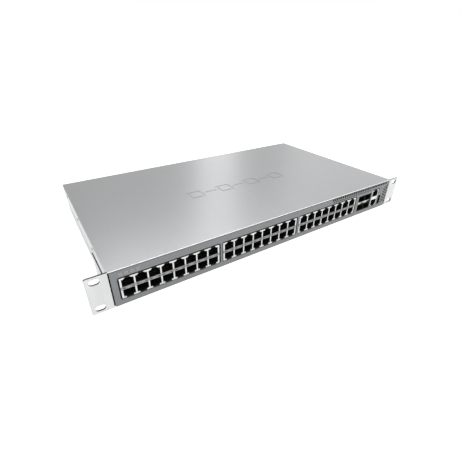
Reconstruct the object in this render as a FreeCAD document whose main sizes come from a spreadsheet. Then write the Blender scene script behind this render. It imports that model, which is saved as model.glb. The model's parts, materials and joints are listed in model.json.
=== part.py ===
import FreeCAD, Part
import math
import os
import re

import Sketcher
from FreeCAD import Placement, Rotation, Vector

# A one-unit rackmount network switch: 48 copper ports in three banks, four pluggable uplinks, a
# management port pair, a USB socket, two fixed power supplies and four fans, in a sheet-steel case.
# Frame: the origin is the centre of the rack-screw pattern on the front face of the mounting ears.
# X runs to the right of someone facing the ports, Y runs from the ports to the rear, Z is up.

doc = FreeCAD.newDocument("rackmount_switch")

# ---------------------------------------------------------------- driving dimensions (millimetres)
DIMENSIONS = {
    # rack standard and casing
    "rack_panel_width": 482.6,
    "ear_slot_span_x": 465.1,
    "ear_slot_span_z": 31.75,
    "ear_slot_length": 10.0,
    "ear_slot_height": 6.5,
    "ear_gauge": 2.0,
    "ear_leg_depth": 70.0,
    "ear_leg_top": 4.7,
    "body_height": 43.6,
    "body_depth": 255.0,
    "tray_width": 440.0,
    "sheet_gauge": 1.0,
    "cover_flange_drop": 16.3,
    "cover_deboss": 0.4,
    "bezel_gauge": 1.6,
    "bezel_inset": 0.1,
    "bezel_width": 437.2,
    # circuit boards
    "board_gauge": 1.6,
    "standoff_height": 3.8,
    # banks of copper ports
    "port_pitch": 13.97,
    "port_columns": 8.0,
    "port_width": 11.7,
    "port_rise": 8.0,
    "port_depth": 16.0,
    "keyway_width": 5.2,
    "bank_height": 25.0,
    "bank_pitch": 119.5,
    "bank_first_x": -153.9,
    "bank_side_wall": 1.15,
    "bank_face": 0.8,
    "bank_housing_depth": 32.0,
    "band_height": 3.6,
    "shield_gauge": 0.3,
    "window_gap": 1.6,
    "window_corner": 1.2,
    "bezel_vent_gauge": 0.7,
    "bezel_top_gap": 0.7,
    "wall_setback": 8.0,
    "strip_height": 3.1,
    "mouth_width": 12.4,
    "mouth_rise": 8.85,
    "shield_setback": 3.5,
    "contact_pitch": 1.02,
    # uplink cage, management ports and USB socket
    "uplink_x": 163.9,
    "uplink_width": 29.2,
    "uplink_height": 24.2,
    "uplink_depth": 45.4,
    "uplink_bay_width": 14.0,
    "uplink_bay_height": 9.0,
    "cage_wall": 0.4,
    "management_x": 189.4,
    "management_width": 16.0,
    "management_height": 26.4,
    "management_band": 5.2,
    "management_rise": 8.0,
    "management_depth": 26.0,
    "usb_x": 201.8,
    "usb_width": 5.8,
    "usb_height": 14.8,
    "usb_wall": 0.35,
    # ventilation
    "vent_pitch": 4.05,
    "vent_first_x": 90.4,
    "side_vent_pitch_z": 4.5,
    "side_vent_pitch_x": 3.7,
    "side_vent_x": 216.2,
    "vent_hole_width": 2.9,
    # fans
    "fan_size": 40.0,
    "fan_depth": 28.0,
    "fan_pitch": 46.0,
    "fan_centre_z": -0.5,
    "fan_bore_radius": 18.9,
    "fan_hub_radius": 10.8,
    "fan_blade_radius": 18.2,
    "fan_shaft_radius": 1.0,
    "fan_screw_offset": 16.0,
    # mains inlets and the wire bails that hold the plugs in
    "inlet_x": 165.0,
    "inlet_body_width": 26.8,
    "inlet_body_height": 19.8,
    "inlet_flange_width": 30.8,
    "inlet_flange_height": 23.8,
    "inlet_flange_gauge": 2.4,
    "inlet_recess_depth": 17.0,
    "bail_wire_radius": 1.0,
    "bail_half_width": 17.4,
    "bail_pivot_z": 12.0,
    "bail_pivot_y": 259.5,
    "bail_drop": 30.0,
    "bail_corner_radius": 4.0,
}

sheet = doc.addObject("Spreadsheet::Sheet", "dims")
for row, (alias, number) in enumerate(DIMENSIONS.items(), start=1):
    sheet.set(f"A{row}", alias.replace("_", " "))
    sheet.set(f"B{row}", str(number))
    sheet.setAlias(f"B{row}", alias)
doc.recompute()

ALIAS = re.compile(r"\b(" + "|".join(sorted(DIMENSIONS, key=len, reverse=True)) + r")\b")

# Places that many sub-parts share, as expressions of the sheet.
TOP = "(body_height / 2)"
BOTTOM = "(-body_height / 2)"
ROOF = "(body_height / 2 - sheet_gauge)"
FLOOR = "(-body_height / 2 + sheet_gauge)"
WALL = "(tray_width / 2)"
BOARD = "(-body_height / 2 + sheet_gauge + standoff_height + board_gauge)"
BANK_WIDTH = "(port_columns * port_pitch + 2 * bank_side_wall)"
BANK_MID = f"({BOARD} + bank_height / 2)"
MANAGEMENT_MID = f"({BOARD} + management_height / 2)"
JACK_FACE = "(bank_face + shield_gauge)"
REAR = "body_depth"
REAR_INNER = "(body_depth - sheet_gauge)"
FAN_FRONT = "(body_depth - sheet_gauge - fan_depth)"

kept = []


# ---------------------------------------------------------------- helpers
def dim(alias):
    """The number in the sheet's cell of that alias."""
    return float(sheet.get(alias))


def bind(thing, prop, expression):
    """Ties a property to an expression of the sheet's aliases."""
    thing.setExpression(prop, ALIAS.sub(r"dims.\1", str(expression)))


def move_to(thing, x, y, z):
    for axis, expression in zip("xyz", (x, y, z)):
        bind(thing, f"Placement.Base.{axis}", expression)
    return thing


def box(name, x, y, z):
    """A Part::Box spanning (low, high) along each axis."""
    made = doc.addObject("Part::Box", name)
    for prop, (low, high) in zip(("Length", "Width", "Height"), (x, y, z)):
        bind(made, prop, f"({high}) - ({low})")
    return move_to(made, x[0], y[0], z[0])


TURN_TO = {
    "x": Rotation(Vector(0, 1, 0), 90),
    "y": Rotation(Vector(1, 0, 0), -90),
    "z": Rotation(),
}


def turned(thing, axis, span, across):
    """Lays a round primitive along an axis, from span[0]; across gives its two other coordinates."""
    thing.Placement = Placement(Vector(), TURN_TO[axis])
    place = {"x": (span[0], *across), "y": (across[0], span[0], across[1]), "z": (*across, span[0])}
    return move_to(thing, *place[axis])


def rod(name, axis, radius, span, across):
    made = doc.addObject("Part::Cylinder", name)
    bind(made, "Radius", radius)
    bind(made, "Height", f"({span[1]}) - ({span[0]})")
    return turned(made, axis, span, across)


def cone(name, axis, radii, span, across):
    made = doc.addObject("Part::Cone", name)
    bind(made, "Radius1", radii[0])
    bind(made, "Radius2", radii[1])
    bind(made, "Height", f"({span[1]}) - ({span[0]})")
    return turned(made, axis, span, across)


def fuse(name, *parts):
    made = doc.addObject("Part::MultiFuse", name)
    made.Shapes = list(parts)
    return made


def cut(name, base, *tools):
    made = doc.addObject("Part::Cut", name)
    made.Base = base
    made.Tool = tools[0] if len(tools) == 1 else fuse(name + "_tools", *tools)
    return made


def body(name):
    return doc.addObject("PartDesign::Body", name)


def sketch(owner, name, role, offset, outlines):
    """A sketch of closed outlines on one of the body's planes; each corner is a pair of expressions."""
    made = owner.newObject("Sketcher::SketchObject", name)
    plane = next(f for f in owner.Origin.OriginFeatures if f.Role == role)
    made.AttachmentSupport = (plane, [""])
    made.MapMode = "FlatFace"
    bind(made, "AttachmentOffset.Base.z", offset)
    for corners in outlines:
        first, count = made.GeometryCount, len(corners)
        turns = [math.tau * i / count for i in range(count)]
        ring = [Vector(math.cos(turn), math.sin(turn), 0) for turn in turns]
        for i in range(count):
            made.addGeometry(Part.LineSegment(ring[i], ring[(i + 1) % count]), False)
        for i in range(count):
            made.addConstraint(Sketcher.Constraint("Coincident", first + i, 2, first + (i + 1) % count, 1))
        for i, corner in enumerate(corners):
            for kind, expression in zip(("DistanceX", "DistanceY"), corner):
                index = made.addConstraint(Sketcher.Constraint(kind, -1, 1, first + i, 1, 1.0))
                bind(made, f"Constraints[{index}]", expression)
    return made


def around(centre, reach):
    """The span that reaches equally far to both sides of a centre."""
    return f"{centre} - {reach}", f"{centre} + {reach}"


def on_board(height):
    """The upright span of something that stands on a circuit board."""
    return BOARD, f"{BOARD} + {height}"


def rectangle(x, z):
    return [(x[0], z[0]), (x[1], z[0]), (x[1], z[1]), (x[0], z[1])]


def clipped(x, z, corner):
    """A rectangle with its four corners clipped."""
    (left, right), (low, high) = x, z
    across = (f"{left} + {corner}", f"{right} - {corner}")
    up = (f"{low} + {corner}", f"{high} - {corner}")
    return [(across[0], low), (across[1], low), (right, up[0]), (right, up[1]),
            (across[1], high), (across[0], high), (left, up[1]), (left, up[0])]


def front_sketch(owner, name, y, outlines):
    """A sketch in X and Z at depth y, whose pads and pockets run towards the rear."""
    return sketch(owner, name, "XZ_Plane", f"-({y})", outlines)


def pad(owner, profile, length, towards_rear=False):
    made = owner.newObject("PartDesign::Pad", profile.Name + "_pad")
    made.Profile = profile
    made.Reversed = towards_rear
    bind(made, "Length", length)
    return made


def pocket(owner, profile, depth, reverse=False):
    """A pocket that has to remove material."""
    doc.recompute()
    before = owner.Shape.Volume
    made = owner.newObject("PartDesign::Pocket", profile.Name + "_pocket")
    made.Profile = profile
    made.Reversed = reverse
    bind(made, "Length", depth)
    doc.recompute()
    if not made.Shape.Volume < before:
        raise ValueError(f"{made.Name} removed nothing")
    return made


def row_of(owner, feature, axis, length, count):
    """Repeats a feature along its sketch's H or V axis, over a whole length."""
    made = owner.newObject("PartDesign::LinearPattern", feature.Name + "_row")
    made.Originals = [feature]
    made.Direction = (feature.Profile[0], [axis])
    made.Occurrences = count
    bind(made, "Length", length)
    owner.Tip = made
    doc.recompute()
    return made


def bar(name, role, offset, corners, length):
    """A padded outline, as a body of its own."""
    made = body(name)
    pad(made, sketch(made, name + "_outline", role, offset, [corners]), length, role == "XZ_Plane")
    return made


def repeated(name, base, places):
    """A compound of many equal solids: the base shape at each placement."""
    doc.recompute()
    made = doc.addObject("Part::Feature", name)
    made.Shape = Part.makeCompound([base.Shape.transformed(place.toMatrix(), True) for place in places])
    return made


def copies(label, base, places):
    """A sub-part made of many equal solids."""
    return keep(repeated(label, base, places), label)


def group(label, *members):
    made = doc.addObject("Part::Compound", label)
    made.Links = list(members)
    return keep(made, label)


def keep(made, label):
    made.Label = label
    kept.append(made)
    return made


def at(x, y, z, rotation=Rotation()):
    return Placement(Vector(x, y, z), rotation)


# Numbers that loops place copies with, worked out from the sheet.
BOARD_Z = -dim("body_height") / 2 + dim("sheet_gauge") + dim("standoff_height") + dim("board_gauge")
FLOOR_Z = -dim("body_height") / 2 + dim("sheet_gauge")
BANK_MID_Z = BOARD_Z + dim("bank_height") / 2
MANAGEMENT_MID_Z = BOARD_Z + dim("management_height") / 2
BANKS = range(3)
COLUMNS = range(int(dim("port_columns")))
BANK_X = [dim("bank_first_x") + n * dim("bank_pitch") for n in BANKS]
COLUMN_X = [x + (c - 3.5) * dim("port_pitch") for x in BANK_X for c in COLUMNS]
FAN_X = [(n - 1.5) * dim("fan_pitch") for n in range(4)]
INLET_X = [-dim("inlet_x"), dim("inlet_x")]
HALF_TURN_Y = Rotation(Vector(0, 1, 0), 180)
HALF_TURN_Z = Rotation(Vector(0, 0, 1), 180)


LENS_SHIFT = 4.3


def bank_x(n):
    return f"(bank_first_x + {n} * bank_pitch)"


# ---------------------------------------------------------------- casing
EAR_SCREW_Y = (22.0, 58.0)
EAR_SCREW_Z = (-14.0, -2.0)
COVER_SCREW_Y = (60.0, 140.0, 220.0)
COVER_SCREW_Z = 13.6
SCREW_CLEAR = 1.6


def side_holes(name, ys, zs):
    """Rods across the whole case, which cut a screw hole through both side walls."""
    return [
        rod(f"{name}_{i}_{k}", "x", SCREW_CLEAR, (f"-{WALL} - 4", f"{WALL} + 4"), (y, z))
        for i, y in enumerate(ys)
        for k, z in enumerate(zs)
    ]


def chassis_tray():
    """The folded floor and side walls that everything else is fixed to."""
    shell = body("tray_shell")
    inner = f"{WALL} - sheet_gauge"
    profile = [
        (f"-{WALL}", ROOF), (f"-{WALL}", BOTTOM), (WALL, BOTTOM), (WALL, ROOF),
        (inner, ROOF), (inner, FLOOR), (f"-({inner})", FLOOR), (f"-({inner})", ROOF),
    ]
    folded = front_sketch(shell, "tray_profile", "bezel_gauge", [profile])
    pad(shell, folded, "body_depth - bezel_gauge", True)
    holes = side_holes("tray_ear_hole", EAR_SCREW_Y, EAR_SCREW_Z)
    holes += side_holes("tray_cover_hole", COVER_SCREW_Y, (COVER_SCREW_Z,))
    setback = ("bezel_gauge - 1", "wall_setback")
    spans = {"left": (f"-{WALL} - 1", f"-({inner})"), "right": (inner, f"{WALL} + 1")}
    above = (FLOOR, f"{ROOF} + 1")
    clear = [box(f"tray_wall_front_{side}", span, setback, above) for side, span in spans.items()]
    keep(cut("tray", shell, *holes, *clear), "chassis_tray")


def top_cover():
    """The lid, folded down over the tray's walls, with a debossed row of linked squares on top."""
    shell = body("cover_shell")
    outer = f"({WALL} + sheet_gauge)"
    lip = "(body_height / 2 - cover_flange_drop)"
    profile = [
        (f"-{outer}", TOP), (f"-{outer}", lip), (f"-{WALL}", lip), (f"-{WALL}", ROOF),
        (WALL, ROOF), (WALL, lip), (outer, lip), (outer, TOP),
    ]
    flange_start = "(ear_gauge + 0.2)"
    folded = front_sketch(shell, "cover_profile", flange_start, [profile])
    pad(shell, folded, f"body_depth - {flange_start}", True)
    brow = rectangle((f"-{WALL} + 0.4", f"{WALL} - 0.4"), (ROOF, TOP))
    pad(shell, front_sketch(shell, "cover_brow", "0.3", [brow]), f"{flange_start} - 0.3", True)
    marks = []
    for n in range(4):
        x, y, half = -67.5 + 48.0 * n, 113.0, 11.0
        marks.append(rectangle((x - half, x + half), (y - half, y + half)))
        marks.append(rectangle((x - half + 3.5, x + half - 3.5), (y - half + 3.5, y + half - 3.5)))
        if n < 3:
            marks.append(rectangle((x + half + 4.0, x + 48.0 - half - 4.0), (y - 1.75, y + 1.75)))
    pocket(shell, sketch(shell, "cover_marks", "XY_Plane", TOP, marks), "cover_deboss")
    holes = side_holes("cover_side_hole", COVER_SCREW_Y, (COVER_SCREW_Z,))
    keep(cut("cover", shell, *holes), "top_cover")


def rack_ears():
    """Folded brackets: a slotted ear across the front and a leg screwed to the side of the tray."""
    outer, fold = "rack_panel_width / 2", WALL
    plate = box("ear_plate", (f"-{outer}", f"-{fold}"), ("0", "ear_gauge"), (BOTTOM, TOP))
    rounded = doc.addObject("Part::Fillet", "ear_plate_rounded")
    rounded.Base = plate
    doc.recompute()
    outer_x = -dim("rack_panel_width") / 2
    corners = [
        i for i, edge in enumerate(plate.Shape.Edges, start=1)
        if abs(edge.BoundBox.YLength - dim("ear_gauge")) < 1e-6 and abs(edge.BoundBox.XMin - outer_x) < 1e-3
        and edge.BoundBox.ZLength < 1e-3
    ]
    rounded.Edges = [(i, 2.0, 2.0) for i in corners]
    leg_z = (f"{BOTTOM} + 1", "ear_leg_top")
    leg = box("ear_leg", (f"-{fold} - ear_gauge", f"-{fold}"), ("0", "ear_leg_depth"), leg_z)
    blank = fuse("ear_blank", rounded, leg)
    tools = []
    through = ("-1", "ear_gauge + 1")
    slot_ends = around("-ear_slot_span_x / 2", "(ear_slot_length - ear_slot_height) / 2")
    for k, sign in enumerate(("-", "")):
        z = f"{sign}ear_slot_span_z / 2"
        tools.append(box(f"ear_slot_{k}", slot_ends, through, around(z, "ear_slot_height / 2")))
        for i, x in enumerate(slot_ends):
            tools.append(rod(f"ear_slot_end_{k}{i}", "y", "ear_slot_height / 2", through, (x, z)))
    for i, y in enumerate(EAR_SCREW_Y):
        for k, z in enumerate(EAR_SCREW_Z):
            hole, sink = (f"-{fold} - 4", f"-{fold} + 1"), (f"-{fold} - ear_gauge", f"-{fold} - 0.5")
            tools.append(rod(f"ear_hole_{i}{k}", "x", SCREW_CLEAR, hole, (y, z)))
            tools.append(cone(f"ear_sink_{i}{k}", "x", ("3.05", "1.55"), sink, (y, z)))
    left = keep(cut("left_ear", blank, *tools), "left_rack_ear")
    right = doc.addObject("Part::Mirroring", "right_ear")
    right.Source = left
    right.Normal = Vector(1, 0, 0)
    keep(right, "right_rack_ear")


def casing_screws():
    """Flat-head screws through the ear legs and low-head screws through the cover's flanges."""
    socket = rod("ear_screw_socket", "x", 0.9, ("-0.5", "0.7"), ("0", "0"))
    head = cone("ear_screw_head", "x", ("3.0", "1.5"), ("0", "1.5"), ("0", "0"))
    shank = rod("ear_screw_shank", "x", 1.5, ("1.4", "5.5"), ("0", "0"))
    ear_screw = cut("ear_screw", fuse("ear_screw_solid", head, shank), socket)
    half = dim("tray_width") / 2 + dim("ear_gauge")
    spots = [(y, z) for y in EAR_SCREW_Y for z in EAR_SCREW_Z]
    copies(
        "rack_ear_screws", ear_screw,
        [at(-half, y, z) for y, z in spots] + [at(half, y, z, HALF_TURN_Z) for y, z in spots],
    )
    low_head = rod("cover_screw_head", "x", 2.8, ("-1.1", "0"), ("0", "0"))
    low_shank = rod("cover_screw_shank", "x", 1.5, ("-0.1", "5"), ("0", "0"))
    low_socket = rod("cover_screw_socket", "x", 0.9, ("-2", "-0.2"), ("0", "0"))
    cover_screw = cut("cover_screw", fuse("cover_screw_solid", low_head, low_shank), low_socket)
    half = dim("tray_width") / 2 + dim("sheet_gauge")
    copies(
        "cover_screws", cover_screw,
        [at(-half, y, COVER_SCREW_Z) for y in COVER_SCREW_Y]
        + [at(half, y, COVER_SCREW_Z, HALF_TURN_Z) for y in COVER_SCREW_Y],
    )


def hexagon(x, z, width):
    """A hexagon that measures width across its flats, with two corners up and down."""
    radius = f"{width} / 1.7320508"
    turns = [math.radians(30 + 60 * i) for i in range(6)]
    return [(f"{x} + {radius} * {math.cos(a):.6f}", f"{z} + {radius} * {math.sin(a):.6f}") for a in turns]


VENT_SLOTS = 31
SMALL_VENTS = 21
STATUS_LIGHT_Z = (4.0, 8.0, 12.0)


def front_bezel():
    """The dark face plate: port windows, a row of slots and small holes along the top, and a side vent."""
    plate = body("bezel_plate")
    outline = rectangle(("-bezel_width / 2", "bezel_width / 2"), (BOTTOM, f"{ROOF} - bezel_top_gap"))
    pad(plate, front_sketch(plate, "bezel_outline", "bezel_inset", [outline]), "bezel_gauge - bezel_inset", True)
    reach = f"({BANK_WIDTH} / 2 + window_gap)"
    windows = [
        clipped(around(bank_x(n), reach), (f"{BOARD} - 0.2", f"{BOARD} + bank_height + 2"), "window_corner")
        for n in BANKS
    ]
    reach = "(uplink_width / 2 + 0.3)"
    windows.append(rectangle(around("uplink_x", reach), (f"{BOARD} - 0.2", f"{BOARD} + uplink_height + 0.4")))
    reach = "(management_width / 2 + 0.3)"
    window_z = (f"{BOARD} - 0.2", f"{BOARD} + management_height + 2.2")
    windows.append(rectangle(around("management_x", reach), window_z))
    reach = "(usb_width / 2 + 0.3)"
    windows.append(rectangle(around("usb_x", reach), (f"{BOARD} - 0.2", f"{BOARD} + usb_height + 0.5")))
    pocket(plate, front_sketch(plate, "bezel_windows", "0", windows), "bezel_gauge")
    slot = rectangle(("vent_first_x - 1.35", "vent_first_x + 1.35"), ("16.6", "19.7"))
    first = pocket(plate, front_sketch(plate, "bezel_slot", "0", [slot]), "bezel_gauge")
    row_of(plate, first, "H_Axis", f"{VENT_SLOTS - 1} * vent_pitch", VENT_SLOTS)
    small = hexagon("vent_first_x + 2", "14.4", "2.2")
    first = pocket(plate, front_sketch(plate, "bezel_small_vent", "0", [small]), "bezel_gauge")
    row_of(plate, first, "H_Axis", f"{SMALL_VENTS - 1} * vent_pitch", SMALL_VENTS)
    for n, (steps_down, count) in enumerate(((3, 7), (2.5, 6), (3, 6))):
        lowest = f"-{steps_down} * side_vent_pitch_z"
        hole = hexagon(f"side_vent_x - {n} * side_vent_pitch_x", lowest, "vent_hole_width")
        first = pocket(plate, front_sketch(plate, f"bezel_side_vent_{n}", "0", [hole]), "bezel_gauge")
        row_of(plate, first, "V_Axis", f"{count - 1} * side_vent_pitch_z", count)
    lights, pipes = [], []
    for i, z in enumerate(STATUS_LIGHT_Z):
        lights.append(rod(f"light_hole_{i}", "y", 1.1, ("-1", "3"), ("usb_x", z)))
        drop_y = 20.5 + 3.0 * i
        run = rod(f"light_pipe_run_{i}", "y", 1.05, ("0.1", drop_y), ("usb_x", z))
        drop = rod(f"light_pipe_drop_{i}", "z", 1.05, (BOARD, z), ("usb_x", drop_y))
        bend = doc.addObject("Part::Sphere", f"light_pipe_bend_{i}")
        bend.Radius = 1.05
        pipes.append(fuse(f"light_pipe_{i}", run, drop, move_to(bend, "usb_x", drop_y, z)))
    behind, beyond = ("bezel_vent_gauge", "bezel_gauge + 1"), "bezel_width / 2 + 1"
    thinned = [
        box("bezel_thin_top", ("vent_first_x - 2.5", beyond), behind, ("13.2", f"{ROOF} + 1")),
        box("bezel_thin_side", ("206.8", beyond), behind, ("-15.6", "14")),
    ]
    keep(cut("bezel", plate, *lights, *thinned), "front_bezel")
    group("status_light_pipes", *pipes)


GROUND_X = 101.0
GROUND_SPAN = 15.88
REAR_SLOT_GROUPS = (-51.0, 28.0)


def rear_panel():
    """The back wall: apertures for four fans and two inlets, exhaust slots and two grounding holes."""
    plate = body("rear_plate")
    inner = f"({WALL} - sheet_gauge)"
    outline = rectangle((f"-{inner}", inner), (FLOOR, ROOF))
    pad(plate, front_sketch(plate, "rear_outline", REAR_INNER, [outline]), "sheet_gauge", True)
    flange = rectangle((f"-{inner} + 2", f"{inner} - 2"), (f"{ROOF} - sheet_gauge", ROOF))
    pad(plate, front_sketch(plate, "rear_flange", f"{REAR_INNER} - 10", [flange]), "10", True)
    feet = [rectangle((f"{a} * 210", f"{a} * 100"), (FLOOR, f"{FLOOR} + sheet_gauge")) for a in (-1, 1)]
    pad(plate, front_sketch(plate, "rear_feet", f"{REAR_INNER} - 8", feet), "8", True)
    half_w, half_h = "(inlet_body_width / 2 + 0.2)", "(inlet_body_height / 2 + 0.2)"
    openings = [rectangle(around(f"{a} * inlet_x", half_w), (f"-{half_h}", half_h)) for a in (-1, 1)]
    pocket(plate, front_sketch(plate, "rear_inlet_cuts", REAR_INNER, openings), "sheet_gauge")
    for n, sign in enumerate((-1, 1)):
        for k, offset in enumerate(REAR_SLOT_GROUPS):
            x = f"({sign} * inlet_x + {offset})"
            slot = rectangle((x, f"{x} + 3"), ("-10", "12"))
            profile = front_sketch(plate, f"rear_slot_{n}{k}", REAR_INNER, [slot])
            row_of(plate, pocket(plate, profile, "sheet_gauge"), "H_Axis", "4 * 5", 5)
    through = (f"{REAR_INNER} - 1", f"{REAR} + 1")
    tools = []
    for n, x in enumerate(FAN_X):
        tools.append(rod(f"rear_fan_hole_{n}", "y", "fan_bore_radius", through, (x, "fan_centre_z")))
        for k, (a, b) in enumerate(((-1, -1), (-1, 1), (1, -1), (1, 1))):
            spot = (f"{x} + {a} * fan_screw_offset", f"fan_centre_z + {b} * fan_screw_offset")
            tools.append(rod(f"rear_fan_screw_hole_{n}{k}", "y", 2.2, through, spot))
    for k, sign in enumerate((-1, 1)):
        tools.append(rod(f"rear_ground_hole_{k}", "y", 2.1, through, (GROUND_X, sign * GROUND_SPAN / 2)))
    keep(cut("rear", plate, *tools), "rear_panel")
    nuts = []
    for k, sign in enumerate((-1, 1)):
        spot = (GROUND_X, sign * GROUND_SPAN / 2)
        span = (f"{REAR_INNER} - 4", REAR_INNER)
        nuts.append(cut(f"ground_nut_{k}", rod(f"ground_nut_body_{k}", "y", 3.6, span, spot),
                        rod(f"ground_nut_bore_{k}", "y", 2.1, span, spot)))
    group("ground_nuts", *nuts)


# ---------------------------------------------------------------- banks of copper ports
def port_outline(x, mid, sign, band, rise, end, edge="port_width / 2", key="keyway_width / 2", lean=1.8):
    """The mouth of a modular jack, opening up (sign 1) or down (-1) from the band between two rows."""
    heights = (f"{band} / 2", f"{band} / 2 + {rise}", f"{band} / 2 + {rise} + 1.4", end)
    near, shoulder, throat, far = (f"{mid} + {sign} * ({height})" for height in heights)
    right = [(edge, near), (edge, shoulder), (f"{key} + {lean}", shoulder), (key, throat), (key, far)]
    corners = [(f"{x} + {across}", level) for across, level in right]
    return corners + [(f"{x} - ({across})", level) for across, level in reversed(right)]


def jack_shell(name, x, half, height, depth):
    """A moulded block standing on the main board, and the folded shield over all its other faces."""
    inner = f"({half} - shield_gauge)"
    core = f"{height} - shield_gauge"
    housing, shield = body(name + "_block_body"), body(name + "_shield_body")
    block = front_sketch(housing, name + "_block", JACK_FACE, [rectangle(around(x, inner), on_board(core))])
    pad(housing, block, depth, True)
    shell = front_sketch(shield, name + "_shell", "bank_face", [rectangle(around(x, half), on_board(height))])
    pad(shield, shell, f"{depth} + 2 * shield_gauge", True)
    hollow = rectangle(around(x, inner), (f"{BOARD} - 1", f"{BOARD} + {core}"))
    pocket(shield, front_sketch(shield, name + "_hollow", JACK_FACE, [hollow]), depth)
    return housing, shield


def open_front(name, shield, x, half, height):
    """The shield with its top and sides cut back behind the face, which hangs on its lowest corners."""
    gap_y, gap_z = (JACK_FACE, f"{JACK_FACE} + shield_setback"), (f"{BOARD} + 1.6", f"{BOARD} + {height} + 1")
    return cut(f"{name}_shield_cut", shield, box(f"{name}_shield_gap", around(x, f"{half} + 1"), gap_y, gap_z))


def port_banks():
    """Three stacked jacks of two rows of eight ports, each a moulded housing in a folded shield."""
    half, along = f"({BANK_WIDTH} / 2)", "(port_columns - 1) * port_pitch"
    for n in BANKS:
        name, first_x = f"bank_{n + 1}", f"({bank_x(n)} - 3.5 * port_pitch)"
        housing, shield = jack_shell(name, bank_x(n), half, "bank_height", "bank_housing_depth")
        key = "keyway_width / 2"
        for row, sign, latch, lean in (("upper", 1, key, 1.8), ("lower", -1, f"{key} + 1", 0.6)):
            blind = port_outline(first_x, BANK_MID, sign, "band_height", "port_rise", "bank_height / 2 - 0.9")
            cavity = front_sketch(housing, f"{name}_{row}_cavity", JACK_FACE, [blind])
            row_of(housing, pocket(housing, cavity, "port_depth"), "H_Axis", along, len(COLUMNS))
            end, edge = "bank_height / 2 + 1", "mouth_width / 2"
            through = port_outline(first_x, BANK_MID, sign, "strip_height", "mouth_rise", end, edge, latch, lean)
            mouth = front_sketch(shield, f"{name}_{row}_mouth", "bank_face", [through])
            row_of(shield, pocket(shield, mouth, "shield_gauge"), "H_Axis", along, len(COLUMNS))
        keep(housing, f"port_{name}_housing")
        keep(open_front(name, shield, bank_x(n), half, "bank_height"), f"port_{name}_shield")
    strip_y = ("bank_face - 0.4", "bank_face")
    strip_z = around(BANK_MID, "strip_height / 2")
    strips = [box(f"label_strip_{n + 1}", around(bank_x(n), half), strip_y, strip_z) for n in BANKS]
    group("port_label_strips", *strips)
    lens = box("port_lens", ("-1.3", "1.3"), ("bank_face - 0.6", "bank_face - 0.4"), ("-0.65", "0.65"))
    spots = [at(x + side * LENS_SHIFT, 0, BANK_MID_Z) for x in COLUMN_X for side in (-1, 1)]
    copies("port_light_pipes", lens, spots)


def jack_contacts():
    """Folded spring contacts, eight to a port, rooted at the back of each cavity beside the band."""
    root = f"({JACK_FACE} + port_depth)"
    foot = [(root, "0.02"), ("4.6", "0.02"), ("4.3", "0.3")]
    profile = foot + [("11.0", "3.0"), ("11.15", "2.76"), ("5.6", "0.28"), (root, "0.28")]
    spring = bar("contact_spring", "YZ_Plane", "-0.2", profile, "0.4")
    offsets = [(k - 3.5) * dim("contact_pitch") for k in range(8)]
    sets = [(x, BANK_MID_Z, dim("band_height") / 2) for x in COLUMN_X]
    sets.append((dim("management_x"), MANAGEMENT_MID_Z, dim("management_band") / 2))
    places = []
    for x, mid, half_band in sets:
        places += [at(x + o, 0, mid + half_band) for o in offsets]
        places += [at(x + o, 0, mid - half_band, HALF_TURN_Y) for o in offsets]
    copies("jack_contacts", spring, places)


# ---------------------------------------------------------------- other front sockets
def management_jack():
    """The pair of shielded ports for the console and management network."""
    x, half = "management_x", "(management_width / 2)"
    housing, shield = jack_shell("management", x, half, "management_height", "management_depth")
    for row, sign in (("upper", 1), ("lower", -1)):
        end = "management_height / 2 - 0.8"
        mouth = port_outline(x, MANAGEMENT_MID, sign, "management_band", "management_rise", end)
        pocket(housing, front_sketch(housing, f"management_{row}_cavity", JACK_FACE, [mouth]), "port_depth")
        rise, end = "management_rise + 1.2", "management_height / 2 + 1"
        through = port_outline(x, MANAGEMENT_MID, sign, "management_band", rise, end, "mouth_width / 2")
        pocket(shield, front_sketch(shield, f"management_{row}_mouth", "bank_face", [through]), "shield_gauge")
    keep(housing, "management_jack_housing")
    keep(open_front("management", shield, x, half, "management_height"), "management_jack_shield")


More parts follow.
